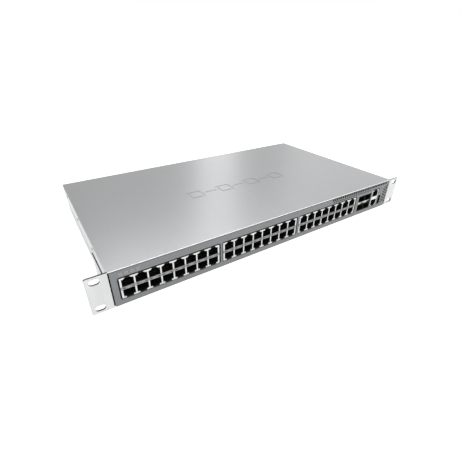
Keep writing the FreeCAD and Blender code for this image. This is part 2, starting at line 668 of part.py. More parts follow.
def uplink_cage():
    """The two-by-two steel cage for pluggable modules, its connectors, latch springs and gasket."""
    face = "0.6"
    side = "(uplink_width / 2)"
    top = f"({BOARD} + uplink_height)"
    lower = f"({BOARD} + 0.5)"
    upper = f"({top} - cage_wall - uplink_bay_height)"
    cage = body("uplink_cage_body")
    outer = rectangle(around("uplink_x", side), (BOARD, top))
    pad(cage, front_sketch(cage, "uplink_outer", face, [outer]), "uplink_depth", True)
    left = f"(uplink_x - {side} + cage_wall)"
    for name, z in (("lower", lower), ("upper", upper)):
        bay = rectangle((left, f"{left} + uplink_bay_width"), (z, f"{z} + uplink_bay_height"))
        first = pocket(cage, front_sketch(cage, f"uplink_bay_{name}", face, [bay]), "uplink_depth - 1")
        row_of(cage, first, "H_Axis", "uplink_bay_width + cage_wall", 2)
    gap_low, gap_high = f"({lower} + uplink_bay_height + cage_wall)", f"({upper} - cage_wall)"
    recess = rectangle((left, f"uplink_x + {side} - cage_wall"), (gap_low, gap_high))
    pocket(cage, front_sketch(cage, "uplink_recess", face, [recess]), "2.5")
    keep(cage, "uplink_cage")
    springs = []
    for n, (offset, lean) in enumerate(((-10.5, -1.1), (-3.5, 1.1), (3.5, -1.1), (10.5, 1.1))):
        tip = f"({gap_low} + {gap_high}) / 2 + {lean}"
        shape = [(f"{face} + 2.5", f"{gap_low} + 0.1"), (f"{face} + 2.5", f"{gap_high} - 0.1"), ("0.7", tip)]
        springs.append(bar(f"uplink_spring_{n}", "YZ_Plane", f"uplink_x + {offset} - 3.4", shape, "6.8"))
    group("uplink_latch_springs", *springs)
    blocks = []
    for name, z in (("lower", lower), ("upper", upper)):
        for n, sign in enumerate((-1, 1)):
            x = f"(uplink_x + {sign} * (uplink_bay_width + cage_wall) / 2)"
            y = (f"{face} + uplink_depth - 1 - 9", f"{face} + uplink_depth - 1")
            shell = box(f"uplink_block_{name}_{n}", around(x, 6.6), y, (z, f"{z} + 7.6"))
            slot_y, slot_z = (f"{y[0]} - 1", f"{y[0]} + 6"), (f"{z} + 3.2", f"{z} + 4.6")
            mouth = box(f"uplink_block_slot_{name}_{n}", around(x, 5.5), slot_y, slot_z)
            blocks.append(cut(f"uplink_connector_{name}_{n}", shell, mouth))
    group("uplink_connectors", *blocks)
    gasket_y = ("bezel_gauge + 0.1", "5")
    outer_x, inner_x = around("uplink_x", f"({side} + 1.6)"), around("uplink_x", f"({side} + 0.05)")
    frame = box("gasket_frame", outer_x, gasket_y, (BOARD, f"{top} + 1.4"))
    inside = box("gasket_inside", inner_x, gasket_y, (f"{BOARD} - 1", f"{top} + 0.05"))
    keep(cut("gasket", frame, inside), "uplink_gasket")


def usb_socket():
    """The upright USB socket: a steel shell and the tongue that carries its four contacts."""
    half, top = "(usb_width / 2)", f"({BOARD} + usb_height)"
    shell = box("usb_outer", around("usb_x", half), ("0.4", "18"), (BOARD, top))
    cavity = box("usb_cavity", (f"usb_x - {half} + usb_wall", f"usb_x + {half} - usb_wall"), ("-1", "17.6"),
                 (f"{BOARD} + 1.2", f"{top} - usb_wall"))
    keep(cut("usb", shell, cavity), "usb_shell")
    tongue = box("usb_tongue_bar", (f"usb_x - {half} + 0.9", f"usb_x - {half} + 2.8"), ("5.6", "17.6"),
                 (f"{BOARD} + 2", f"{top} - 1.2"))
    keep(tongue, "usb_tongue")


# ---------------------------------------------------------------- circuit boards and what they carry
MAIN_FIXINGS = [(x, y) for x in (-206.0, -94.0, 85.0, 206.0) for y in (54.0, 118.0)]
MAIN_FIXINGS += [(-96.0, 200.0), (12.0, 200.0), (96.0, 200.0)]
SUPPLY_INNER, SUPPLY_OUTER = 112.0, 213.0
SUPPLY_FIXINGS = [(sign * x, y) for sign in (-1, 1) for x in (118.0, 207.0) for y in (138.0, 238.0)]


def board_with_holes(name, blank, spots):
    through = (f"{BOARD} - 3", f"{BOARD} + 1")
    holes = [rod(f"{name}_hole_{i}", "z", 1.8, through, spot) for i, spot in enumerate(spots)]
    return keep(cut(name + "_drilled", blank, *holes), name)


def circuit_boards():
    """The T-shaped main board and the two supply boards beside its stem."""
    depth = (f"{BOARD} - board_gauge", BOARD)
    front = box("main_board_front", ("-214", "214"), ("2.6", "126"), depth)
    stem = box("main_board_stem", ("-104", "104"), ("120", "206"), depth)
    board_with_holes("main_circuit_board", fuse("main_board_blank", front, stem), MAIN_FIXINGS)
    for n, sign in enumerate((-1, 1)):
        low, high = sorted((sign * SUPPLY_INNER, sign * SUPPLY_OUTER))
        blank = box(f"supply_board_{n + 1}", (low, high), ("132", "244"), depth)
        spots = [spot for spot in SUPPLY_FIXINGS if spot[0] * sign > 0]
        board_with_holes(f"power_supply_{n + 1}_board", blank, spots)
    post = cut(
        "standoff",
        rod("standoff_post", "z", 3.0, ("0", "standoff_height"), ("0", "0")),
        rod("standoff_thread", "z", 1.5, ("0.6", "standoff_height + 1"), ("0", "0")),
    )
    spots = MAIN_FIXINGS + SUPPLY_FIXINGS
    copies("board_standoffs", post, [at(x, y, FLOOR_Z) for x, y in spots])
    screw = cut(
        "board_screw",
        fuse("board_screw_solid", rod("board_screw_head", "z", 2.8, ("0", "1.8"), ("0", "0")),
             rod("board_screw_shank", "z", 1.45, ("-4.2", "0.1"), ("0", "0"))),
        rod("board_screw_socket", "z", 0.9, ("0.8", "2.5"), ("0", "0")),
    )
    copies("board_screws", screw, [at(x, y, BOARD_Z) for x, y in spots])


def finned_sink(label, x, y, foot, height, half_x, half_y, gaps):
    """An extruded aluminium heat sink whose fins run front to rear."""
    made = body(label + "_body")
    base = f"({BOARD} + {foot})"
    blank = rectangle((x - half_x, x + half_x), (base, f"{base} + {height}"))
    pad(made, front_sketch(made, label + "_blank", y - half_y, [blank]), 2 * half_y, True)
    step = (2 * half_x - 1.2) / gaps
    gap = rectangle((x - half_x + 1.2, x - half_x + step), (f"{base} + 3", f"{base} + {height} + 1"))
    first = pocket(made, front_sketch(made, label + "_gap", y - half_y, [gap]), 2 * half_y)
    row_of(made, first, "H_Axis", (gaps - 1) * step, gaps)
    return keep(made, label)


BATTERY_SPOT = ("-170", "92")


def main_board_parts():
    """Chips, heat sinks, coils, capacitors, the clock battery and the connectors on the main board."""
    finned_sink("switch_heat_sink", 20.0, 92.0, 2.4, 18.0, 34.0, 30.0, 16)
    finned_sink("processor_heat_sink", 150.0, 96.0, 2.0, 12.0, 18.0, 18.0, 9)
    chips = [
        box("switch_chip", ("2", "38"), ("74", "110"), on_board(2.4)),
        box("processor", ("138", "162"), ("84", "108"), on_board(2)),
    ]
    for n, x in enumerate(x + side * 27.9 for x in BANK_X for side in (-1, 1)):
        chips.append(box(f"line_chip_{n}", around(x, 7), ("46", "60"), on_board(1.5)))
    for n in range(4):
        y = 68.0 + 13.0 * n
        chips.append(box(f"memory_chip_{n}", ("178", "187"), (y, y + 11.0), on_board(1.1)))
    chips.append(box("control_chip", ("-150", "-133"), ("84", "101"), on_board(1.6)))
    group("circuit_chips", *chips)
    coil = box("coil", ("-5", "5"), ("-5", "5"), ("0", "5.5"))
    copies("voltage_coils", coil, [at(-118.0 + 14.0 * n, 92.0, BOARD_Z) for n in range(4)]
           + [at(-30.0 + 14.0 * n, 150.0, BOARD_Z) for n in range(5)])
    can = rod("can", "z", 4.0, ("0", "11.5"), ("0", "0"))
    copies("board_capacitors", can, [at(-118.0 + 11.0 * n, 108.0, BOARD_Z) for n in range(5)]
           + [at(-30.0 + 11.0 * n, 166.0, BOARD_Z) for n in range(6)])
    keep(rod("coin_cell", "z", 10.0, (f"{BOARD} + 1", f"{BOARD} + 4.2"), BATTERY_SPOT), "clock_battery")


WIRE_ROWS = [(y, z) for y in (172.0, 179.0, 186.0) for z in (3.0, 7.0)]
FAN_LEAD_SHIFT = 17.6


def wiring():
    """The battery's holder, and the plugs and leads between the supplies, the main board and the fans."""
    holder = box("holder_block", ("-182", "-158"), ("80", "104"), on_board(4))
    well = rod("holder_well", "z", 10.2, (f"{BOARD} + 1", f"{BOARD} + 5"), BATTERY_SPOT)
    sockets, wires = [cut("battery_holder", holder, well)], []
    for n, sign in enumerate((-1, 1)):
        for name, near, far in (("board", 92.0, 100.0), ("supply", 117.0, 126.0)):
            low, high = sorted((sign * near, sign * far))
            sockets.append(box(f"power_plug_{name}_{n}", (low, high), ("168", "190"), on_board(10)))
        low, high = sorted((sign * 100.0, sign * 117.0))
        for k, (y, z) in enumerate(WIRE_ROWS):
            wires.append(rod(f"power_wire_{n}{k}", "x", 1.2, (low, high), (y, f"{BOARD} + {z}")))
    for n, x in enumerate(FAN_X):
        spot = x + FAN_LEAD_SHIFT
        sockets.append(box(f"fan_plug_{n}", around(spot, 4), ("194", "201"), on_board(6)))
    group("board_connectors", *sockets)
    group("power_harness", *wires)
    leads = [
        rod(f"fan_lead_{n}", "y", 1.6, ("201", FAN_FRONT), (x + FAN_LEAD_SHIFT, f"{BOARD} + 3.4"))
        for n, x in enumerate(FAN_X)
    ]
    group("fan_leads", *leads)


def power_supply_parts():
    """What stands on the supply boards: transformers, chokes, capacitors and finned heat spreaders."""
    magnetics, cans, spreaders = [], [], []
    for n, sign in enumerate((-1, 1)):
        x = sign * 162.0
        magnetics.append(box(f"transformer_{n}", around(x, 16), ("166", "194"), on_board(25)))
        magnetics.append(box(f"choke_{n}", (x + 22, x + 38), ("203", "219"), on_board(20)))
        for k in range(2):
            cans.append(rod(f"bulk_capacitor_{n}{k}", "z", 12.5, on_board(31), (x - 13 + 27 * k, "148")))
        for k in range(4):
            cans.append(rod(f"output_capacitor_{n}{k}", "z", 5, on_board(20), (x - 33, 204 + 11 * k)))
        for k, side in enumerate((-1, 1)):
            edge = x + side * 24.0
            wall = box(f"spreader_wall_{n}{k}", around(edge, 1.5), ("164", "198"), on_board(26))
            fin_z = (f"{BOARD} + 11", f"{BOARD} + 26")
            fin_y = [(166 + 6 * i, 167.5 + 6 * i) for i in range(6)]
            fins = [box(f"spreader_fin_{n}{k}{i}", around(edge, 5), y, fin_z) for i, y in enumerate(fin_y)]
            spreaders.append(fuse(f"spreader_{n}{k}", wall, *fins))
    group("power_supply_magnetics", *magnetics)
    group("power_supply_capacitors", *cans)
    group("power_supply_heat_sinks", *spreaders)


# ---------------------------------------------------------------- fans
FAN_BLADES = 7
BLADE_TILT = 38.0
HUB_FRONT, HUB_LENGTH = 3.0, 18.0


def fan_frame(n, x):
    """A square fan housing with a round duct, a motor base on three struts and a bearing tube."""
    half, z = "fan_size / 2", "fan_centre_z"
    rear = REAR_INNER
    block = box(f"fan_{n}_block", around(x, half), (FAN_FRONT, rear), around(z, half))
    duct = rod(f"fan_{n}_duct", "y", "fan_bore_radius", (f"{FAN_FRONT} - 1", f"{rear} + 1"), (x, z))
    holes = [
        rod(f"fan_{n}_hole_{a}{b}", "y", 2.15, (f"{FAN_FRONT} - 1", f"{rear} + 1"),
            (f"{x} + {2 * a - 1} * fan_screw_offset", f"{z} + {2 * b - 1} * fan_screw_offset"))
        for a in (0, 1)
        for b in (0, 1)
    ]
    shell = cut(f"fan_{n}_shell", block, duct, *holes)
    base = rod(f"fan_{n}_motor_base", "y", "fan_hub_radius + 0.2", (f"{rear} - 4.5", f"{rear} - 1"), (x, z))
    tube = rod(f"fan_{n}_bearing", "y", 3.2, (f"{rear} - 17", f"{rear} - 4"), (x, z))
    bore_y = (f"{rear} - 18", f"{rear} - 4.5")
    bore = rod(f"fan_{n}_bearing_bore", "y", "fan_shaft_radius + 0.08", bore_y, (x, z))
    struts = []
    for k, angle in enumerate((90.0, 210.0, 330.0)):
        strut = doc.addObject("Part::Box", f"fan_{n}_strut_{k}")
        bind(strut, "Length", "fan_bore_radius - fan_hub_radius + 1.2")
        strut.Width, strut.Height = 3.0, 2.4
        away = Rotation(Vector(0, 1, 0), -angle)
        start = away.multVec(Vector(dim("fan_hub_radius") - 0.6, 0, -1.2))
        y = dim("body_depth") - dim("sheet_gauge") - 4.2
        strut.Placement = at(x + start.x, y, dim("fan_centre_z") + start.z, away)
        struts.append(strut)
    solid = fuse(f"fan_{n}_solid", shell, base, tube, *struts)
    keep(cut(f"fan_{n}_bored", solid, bore), f"fan_frame_{n}")


def fan_rotor(n, x):
    """A cup-shaped hub with its shaft and seven tilted blades, turning about an axis along Y."""
    z = "fan_centre_z"
    front = f"({FAN_FRONT} + {HUB_FRONT})"
    hub = rod(f"rotor_{n}_hub", "y", "fan_hub_radius", (front, f"{front} + {HUB_LENGTH}"), (x, z))
    hollow_y = (f"{front} + 1.2", f"{front} + {HUB_LENGTH} + 1")
    cup = cut(f"rotor_{n}_cup", hub, rod(f"rotor_{n}_hollow", "y", "fan_hub_radius - 1", hollow_y, (x, z)))
    shaft_y = (f"{front} + 0.6", f"{REAR_INNER} - 5.5")
    shaft = rod(f"rotor_{n}_shaft", "y", "fan_shaft_radius", shaft_y, (x, z))
    blades = []
    y = dim("body_depth") - dim("sheet_gauge") - dim("fan_depth") + HUB_FRONT + HUB_LENGTH / 2
    for k in range(FAN_BLADES):
        blade = doc.addObject("Part::Box", f"rotor_{n}_blade_{k}")
        bind(blade, "Length", "fan_bore_radius - fan_hub_radius + 0.9")
        blade.Width, blade.Height = 15.0, 1.0
        away = Rotation(Vector(0, 1, 0), 360.0 / FAN_BLADES * k)
        tilt = Rotation(Vector(1, 0, 0), BLADE_TILT)
        corner = Vector(dim("fan_hub_radius") - 0.9, 0, 0) + tilt.multVec(Vector(0, -7.5, -0.5))
        start = away.multVec(corner)
        blade.Placement = at(x + start.x, y + start.y, dim("fan_centre_z") + start.z, away.multiply(tilt))
        blades.append(blade)
    sweep = rod(f"rotor_{n}_sweep", "y", "fan_blade_radius", (FAN_FRONT, REAR_INNER), (x, z))
    trimmed = doc.addObject("Part::Common", f"rotor_{n}_blades")
    trimmed.Base = fuse(f"rotor_{n}_blade_set", *blades)
    trimmed.Tool = sweep
    keep(fuse(f"rotor_{n}", cup, shaft, trimmed), f"fan_rotor_{n}")


def torus(name, ring, wire, x, y, z):
    made = doc.addObject("Part::Torus", name)
    made.Radius1, made.Radius2 = ring, wire
    made.Placement = at(x, y, z, TURN_TO["y"])
    return made


def fans():
    """Four fans against the rear panel, with welded wire guards outside and the screws that hold both."""
    for n, x in enumerate(FAN_X, start=1):
        fan_frame(n, x)
        fan_rotor(n, x)
    wire, corner = 0.8, dim("fan_screw_offset")
    rings = [torus(f"guard_ring_{k}", r, wire, 0, 0, 0) for k, r in enumerate((6.0, 11.5, 17.0))]
    for k, angle in enumerate((45.0, 135.0, 225.0, 315.0)):
        leg = doc.addObject("Part::Cylinder", f"guard_leg_{k}")
        leg.Radius, leg.Height = 0.6, corner * math.sqrt(2) - 2.9 - 6.0
        outward = Rotation(Vector(0, 1, 0), 90 - angle)
        start = outward.multVec(Vector(0, 0, 6.0))
        leg.Placement = at(start.x, start.y, start.z, outward)
        rings.append(leg)
        eye = outward.multVec(Vector(0, 0, corner * math.sqrt(2)))
        rings.append(torus(f"guard_eye_{k}", 2.9, wire, eye.x, 0, eye.z))
    guard = fuse("guard", *rings)
    rear = dim("body_depth")
    copies("fan_guards", guard, [at(x, rear + wire, dim("fan_centre_z")) for x in FAN_X])
    screw = cut(
        "fan_screw",
        fuse("fan_screw_solid", rod("fan_screw_head", "y", 3.1, ("0", "1.9"), ("0", "0")),
             rod("fan_screw_shank", "y", 2.0, ("-9", "0.1"), ("0", "0"))),
        rod("fan_screw_socket", "y", 1.1, ("1.0", "3"), ("0", "0")),
    )
    spots = [(a * corner, b * corner) for a in (-1, 1) for b in (-1, 1)]
    places = [at(x + dx, rear + 2 * wire, dim("fan_centre_z") + dz) for x in FAN_X for dx, dz in spots]
    copies("fan_screws", screw, places)


# ---------------------------------------------------------------- mains inlets and plug retainers
BRACKET_GAUGE = 1.2
BRACKET_START = 18.9


def mains_inlets():
    """Two flanged mains inlets, each with three blades whose tabs pass through the back wall."""
    face = "(body_depth + inlet_flange_gauge)"
    tab = box("blade_tab", ("-0.4", "0.4"), ("-17", "0"), ("-3.15", "3.15"))
    blade = fuse("blade", box("blade_front", ("-1", "1"), ("0", "12.2"), ("-2", "2")), tab)
    root = dim("body_depth") + dim("inlet_flange_gauge") - dim("inlet_recess_depth")
    spots = [at(x + dx, root, dz) for x in INLET_X for dx, dz in ((-7.0, -2.0), (7.0, -2.0), (0.0, 2.0))]
    copies("inlet_blades", blade, spots)
    tab_slots = repeated("tab_slots", tab, spots)
    for n, sign in enumerate((-1, 1)):
        x = f"({sign} * inlet_x)"
        barrel_z, flange_z = around(0, "inlet_body_height / 2"), around(0, "inlet_flange_height / 2")
        barrel = box(f"inlet_{n}_barrel", around(x, "inlet_body_width / 2"), ("232", REAR), barrel_z)
        flange = box(f"inlet_{n}_flange", around(x, "inlet_flange_width / 2"), (REAR, face), flange_z)
        corners = [
            (f"{x} - 12", "-8.2"), (f"{x} + 12", "-8.2"), (f"{x} + 12", "3.6"), (f"{x} + 7.4", "8.2"),
            (f"{x} - 7.4", "8.2"), (f"{x} - 12", "3.6"),
        ]
        floor_y = f"-({face} - inlet_recess_depth)"
        recess = bar(f"inlet_{n}_recess", "XZ_Plane", floor_y, corners, "inlet_recess_depth + 1")
        solid = fuse(f"inlet_{n}_solid", barrel, flange)
        keep(cut(f"inlet_{n}", solid, recess, tab_slots), f"power_inlet_{n + 1}")


def bail(label, sign):
    """A bent wire loop hanging round the inlet's mouth, its ends turned out through the brackets."""
    x, y, z = f"({sign} * inlet_x)", "bail_pivot_y", "bail_pivot_z"
    small, big, wire = 1.5, "bail_corner_radius", "bail_wire_radius"
    low = f"({z} - bail_drop)"
    pieces = []
    for k, side in enumerate((-1, 1)):
        leg_x = f"({x} + {side} * bail_half_width)"
        inner, outer = f"{x} + {side} * {BRACKET_START}", f"{x} + {side} * 21.2"
        span = (outer, inner) if side < 0 else (inner, outer)
        pieces.append(rod(f"{label}_end_{k}", "x", wire, span, (y, z)))
        pieces.append(rod(f"{label}_leg_{k}", "z", wire, (f"{low} + {big}", f"{z} - {small}"), (leg_x, y)))
        turn = doc.addObject("Part::Torus", f"{label}_turn_{k}")
        bind(turn, "Radius1", small)
        bind(turn, "Radius2", wire)
        turn.Angle3 = 90.0
        turn.Placement = Placement(Vector(), Rotation(Vector(1, 0, 0), 90).multiply(
            Rotation(Vector(0, 0, 1), 0.0 if side < 0 else 90.0)))
        move_to(turn, f"{x} + {side} * {BRACKET_START}", y, f"{z} - {small}")
        pieces.append(turn)
        corner = doc.addObject("Part::Torus", f"{label}_corner_{k}")
        bind(corner, "Radius1", big)
        bind(corner, "Radius2", wire)
        corner.Angle3 = 90.0
        corner.Placement = Placement(Vector(), Rotation(Vector(1, 0, 0), 90).multiply(
            Rotation(Vector(0, 0, 1), 180.0 if side < 0 else 270.0)))
        move_to(corner, f"{leg_x} - {side} * {big}", y, f"{low} + {big}")
        pieces.append(corner)
    reach = f"(bail_half_width - {big})"
    pieces.append(rod(f"{label}_bar", "x", wire, around(x, reach), (y, low)))
    return keep(fuse(f"{label}_wire", *pieces), label)


def plug_retainers():
    feet = []
    for n, sign in enumerate((-1, 1)):
        for k, side in enumerate((-1, 1)):
            x = f"({sign} * inlet_x + {side} * {BRACKET_START})"
            spans = sorted((0.0, side * BRACKET_GAUGE)), sorted((0.0, side * 7.5))
            wall = box(f"bracket_wall_{n}{k}", (f"{x} + {spans[0][0]}", f"{x} + {spans[0][1]}"),
                       (REAR, "bail_pivot_y + 2.6"), ("bail_pivot_z - 3", "bail_pivot_z + 3"))
            foot = box(f"bracket_foot_{n}{k}", (f"{x} + {spans[1][0]}", f"{x} + {spans[1][1]}"),
                       (REAR, f"{REAR} + {BRACKET_GAUGE}"), ("bail_pivot_z - 3", "bail_pivot_z + 3"))
            hole = rod(f"bracket_hole_{n}{k}", "x", "bail_wire_radius + 0.07", around(x, "3"),
                       ("bail_pivot_y", "bail_pivot_z"))
            feet.append(cut(f"bracket_{n}{k}", fuse(f"bracket_solid_{n}{k}", wall, foot), hole))
    group("retainer_brackets", *feet)
    bail("retainer_bail_1", -1)
    bail("retainer_bail_2", 1)


def check_and_export():
    """Every object has to be up to date and every kept shape valid before any file is written."""
    doc.recompute()
    failed = [o.Name for o in doc.Objects if "Invalid" in o.State or "Error" in o.State]
    failed += [o.Label for o in kept if o.Shape.isNull() or not o.Shape.isValid() or not o.Shape.Solids]
    if failed:
        raise ValueError(f"these objects failed: {failed}")
    os.makedirs("parts", exist_ok=True)
    for made in kept:
        made.Shape.exportStep(f"parts/{made.Label}.step")
        size = made.Shape.BoundBox
        low, high = (size.XMin, size.YMin, size.ZMin), (size.XMax, size.YMax, size.ZMax)
        spans = ", ".join(f"{a:.1f} to {b:.1f}" for a, b in zip(low, high))
        print(f"{made.Label}: {len(made.Shape.Solids)} solids, {made.Shape.Volume:.0f} mm3, {spans}")
    print(len(kept), "sub-parts")


chassis_tray()
top_cover()
front_bezel()
rear_panel()
rack_ears()
casing_screws()
port_banks()
jack_contacts()
management_jack()
uplink_cage()
usb_socket()
circuit_boards()
main_board_parts()
wiring()
power_supply_parts()
fans()
mains_inlets()
plug_retainers()
check_and_export()
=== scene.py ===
# %% [markdown]
# # A rack switch with forty-eight copper ports
# The object is a one-unit network switch: a folded sheet-metal case, two rack ears, three banks of
# sixteen modular jacks, a small fibre cage, and fans and mains inlets on the back.
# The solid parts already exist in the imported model, in metres, and Blender only dresses them.
# So the first step loads those parts and keeps the size of the whole, which nothing may outgrow.

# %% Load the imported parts
import json
from math import pi, radians

import bmesh
import bpy
from mathutils import Matrix, Vector

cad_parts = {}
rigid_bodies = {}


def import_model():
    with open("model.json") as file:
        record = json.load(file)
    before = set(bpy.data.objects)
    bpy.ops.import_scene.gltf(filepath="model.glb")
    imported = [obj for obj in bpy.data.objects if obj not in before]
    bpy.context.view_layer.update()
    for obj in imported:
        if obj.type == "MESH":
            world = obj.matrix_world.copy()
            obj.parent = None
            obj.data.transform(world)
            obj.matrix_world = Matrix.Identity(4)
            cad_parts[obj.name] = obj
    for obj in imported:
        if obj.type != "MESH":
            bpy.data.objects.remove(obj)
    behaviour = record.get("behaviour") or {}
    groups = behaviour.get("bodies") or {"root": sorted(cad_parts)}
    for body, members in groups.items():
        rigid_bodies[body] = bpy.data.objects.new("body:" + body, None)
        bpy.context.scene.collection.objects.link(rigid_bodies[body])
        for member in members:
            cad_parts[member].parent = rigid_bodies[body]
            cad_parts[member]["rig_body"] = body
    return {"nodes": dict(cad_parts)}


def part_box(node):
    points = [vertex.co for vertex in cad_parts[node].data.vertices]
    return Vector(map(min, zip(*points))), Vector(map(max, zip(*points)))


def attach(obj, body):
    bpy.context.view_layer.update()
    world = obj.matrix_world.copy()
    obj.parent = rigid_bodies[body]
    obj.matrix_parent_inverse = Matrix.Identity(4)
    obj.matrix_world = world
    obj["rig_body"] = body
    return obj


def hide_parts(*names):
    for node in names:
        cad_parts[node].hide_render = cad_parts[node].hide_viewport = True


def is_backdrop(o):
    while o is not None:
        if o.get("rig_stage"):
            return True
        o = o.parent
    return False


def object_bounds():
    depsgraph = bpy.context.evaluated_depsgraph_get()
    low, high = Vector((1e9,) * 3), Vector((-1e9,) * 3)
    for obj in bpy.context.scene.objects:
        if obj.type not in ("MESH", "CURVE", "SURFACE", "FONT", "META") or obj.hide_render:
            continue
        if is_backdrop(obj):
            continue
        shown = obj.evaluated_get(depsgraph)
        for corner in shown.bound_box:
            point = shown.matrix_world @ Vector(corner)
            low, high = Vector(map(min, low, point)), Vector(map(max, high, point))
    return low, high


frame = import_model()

MM = 0.001
scene = bpy.context.scene
nodes = frame["nodes"]
cad_low, cad_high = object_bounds()
print(len(nodes), "parts,", [round((high - low) / MM, 1) for low, high in zip(cad_low, cad_high)], "mm")

# %% [markdown]
# ## One way to add a node
# Materials and Geometry Nodes are both trees of nodes, so one small function serves both: it adds a
# node, sets its options, and fills its sockets with plain values or with another node's output.
# A second function turns the hex colours that painters and web pages use into Blender's linear ones.

# %% Helpers for trees and colours
def add(tree, kind, options=None, sockets=None):
    """Adds a node, sets its options, and fills its sockets with values or with other nodes' outputs."""
    node = tree.nodes.new(kind)
    for name, value in (options or {}).items():
        setattr(node, name, value)
    for name, value in (sockets or {}).items():
        for one in value if isinstance(value, list) else [value]:
            one = one.outputs[0] if isinstance(one, bpy.types.Node) else one
            if isinstance(one, bpy.types.NodeSocket):
                tree.links.new(one, node.inputs[name])
            else:
                node.inputs[name].default_value = one
    return node


def tone(code):
    """An sRGB hex colour as a linear one."""
    parts = [int(code[i:i + 2], 16) / 255 for i in (1, 3, 5)]
    return tuple(c / 12.92 if c <= 0.04045 else ((c + 0.055) / 1.055) ** 2.4 for c in parts) + (1.0,)


print("mid grey", [round(c, 3) for c in tone("#808080")])

# %% [markdown]
# ## The start of every finish
# A finish begins as one Principled shader and the object's own coordinates in metres, so that a
# pattern has a real size. Steps that most finishes share are kept as recipes: patches of two close
# tones, polish that varies with them, and a fine relief. Without them a surface looks like plastic
# toys do: one colour and one gloss all over.

# %% The shared recipes
def begin(name, metallic, roughness, **more):
    """A new finish: its material, its tree, its shader and the object's coordinates."""
    finish = bpy.data.materials.new(name)
    finish.use_nodes = True
    tree = finish.node_tree
    tree.nodes.clear()
    shader = add(tree, "ShaderNodeBsdfPrincipled", {}, {"Metallic": metallic, "Roughness": roughness, **more})
    add(tree, "ShaderNodeOutputMaterial", {}, {"Surface": shader.outputs[0]})
    return finish, tree, shader, add(tree, "ShaderNodeTexCoord").outputs["Object"]


NOISE_LOW, NOISE_HIGH = 0.3, 0.7  # nearly all of a noise pattern lies between these


def patches(tree, where, size, low, high, stretch=(1, 1, 1), detail=3.0):
    """Soft patches of two tones, `size` mm across; a stretch under one draws them out along that axis."""
    place = add(tree, "ShaderNodeMapping", {}, {"Vector": where, "Scale": stretch})
    noise = add(tree, "ShaderNodeTexNoise", {}, {
        "Vector": place.outputs["Vector"], "Scale": 1 / (size * MM), "Detail": detail})
    spread = add(tree, "ShaderNodeMapRange", {}, {
        "Value": noise.outputs[0], "From Min": NOISE_LOW, "From Max": NOISE_HIGH})
    mix = add(tree, "ShaderNodeMix", {"data_type": "RGBA"}, {0: spread.outputs[0], 6: low, 7: high})
    return mix.outputs[2], spread.outputs[0]


def polish_and_relief(tree, shader, amount, dull, bright, depth, strength=0.5):
    """Roughness runs from dull to bright with a pattern, and the pattern stands `depth` mm proud."""
    gloss = add(tree, "ShaderNodeMapRange", {}, {"Value": amount, "To Min": dull, "To Max": bright})
    tree.links.new(gloss.outputs[0], shader.inputs["Roughness"])
    bump = add(tree, "ShaderNodeBump", {}, {"Height": amount, "Distance": depth * MM, "Strength": strength})
    tree.links.new(bump.outputs[0], shader.inputs["Normal"])


print("recipes: a start, patches, polish and relief")

# %% [markdown]
# ## Three kinds of surface
# Nearly everything on a switch is powder coated, plated or moulded. The three differ in what varies:
# powder has flakes of two tones under a gentle orange peel, plating has clouds of polish that follow the
# rolling of the sheet, and plastic has one tone under a fine spark-eroded texture. Each becomes a
# function here, so a finish further down is one line: its real tones, its gloss and its grain in mm.
# Real flake and tool texture are finer than a tenth of a millimetre and wouldn't show, so both are
# drawn as coarse as half a millimetre.

# %% Powder, plating and plastic
def powder_coat(name, low, high, metallic, roughness, flake=0.5, peel=1.4):
    """Powder melted onto sheet: flakes of two tones, under the gentle orange peel of the melt."""
    finish, tree, shader, where = begin(name, metallic, roughness)
    colour = patches(tree, where, flake, tone(low), tone(high), detail=2.0)[0]
    tree.links.new(colour, shader.inputs["Base Color"])
    melt = patches(tree, where, peel, tone(low), tone(high), detail=1.0)[1]
    polish_and_relief(tree, shader, melt, roughness + 0.05, roughness - 0.05, 0.02, 0.25)
    return finish


def plated(name, low, high, roughness, size=4.0, stretch=(1, 1, 1), depth=0.01, metallic=1.0):
    """Plating over rolled or drawn metal: cloudy polish, drawn out along the rolling by a stretch."""
    finish, tree, shader, where = begin(name, metallic, roughness)
    colour, amount = patches(tree, where, size, tone(low), tone(high), stretch, 5.0)
    tree.links.new(colour, shader.inputs["Base Color"])
    polish_and_relief(tree, shader, amount, roughness + 0.08, roughness - 0.06, depth, 0.3)
    return finish


def moulded(name, low, high, roughness, size=0.6, depth=0.02):
    """Moulded plastic: nearly one tone, with the fine spark-eroded texture of the tool."""
    finish, tree, shader, where = begin(name, 0.0, roughness, IOR=1.55)
    colour, amount = patches(tree, where, size, tone(low), tone(high), detail=2.0)
    tree.links.new(colour, shader.inputs["Base Color"])
    polish_and_relief(tree, shader, amount, roughness + 0.06, roughness - 0.06, depth, 0.35)
    return finish


print("recipes: powder coat, plated metal, moulded plastic")

# %% [markdown]
# ## The case metals
# The cover and the bezel are powder coated; the tray, the rear panel and the ears are zinc-plated
# steel left bare. Coated steel scatters light softly, while bare plate keeps long pale
# reflections, and that difference is what separates the pieces to the eye.

# %% Finishes of the case
finishes = {}
# silver polyester powder with aluminium flake, sprayed and baked: a soft, even sheen
finishes["cover_metal"] = powder_coat("silver_powder_coat", "#BEBFC0", "#CACBCC", 0.75, 0.34)
# graphite powder, a little duller: the dark band that frames the ports
finishes["bezel_paint"] = powder_coat("graphite_powder_coat", "#747678", "#828486", 0.25, 0.42)
# bright zinc on pressed steel, passivated clear: nearly white, slightly cloudy
finishes["ear_steel"] = plated("bright_zinc_plate", "#CDCECE", "#D5D6D6", 0.42, 9.0, (1, 1, 0.4), 0.004,
                               metallic=0.55)

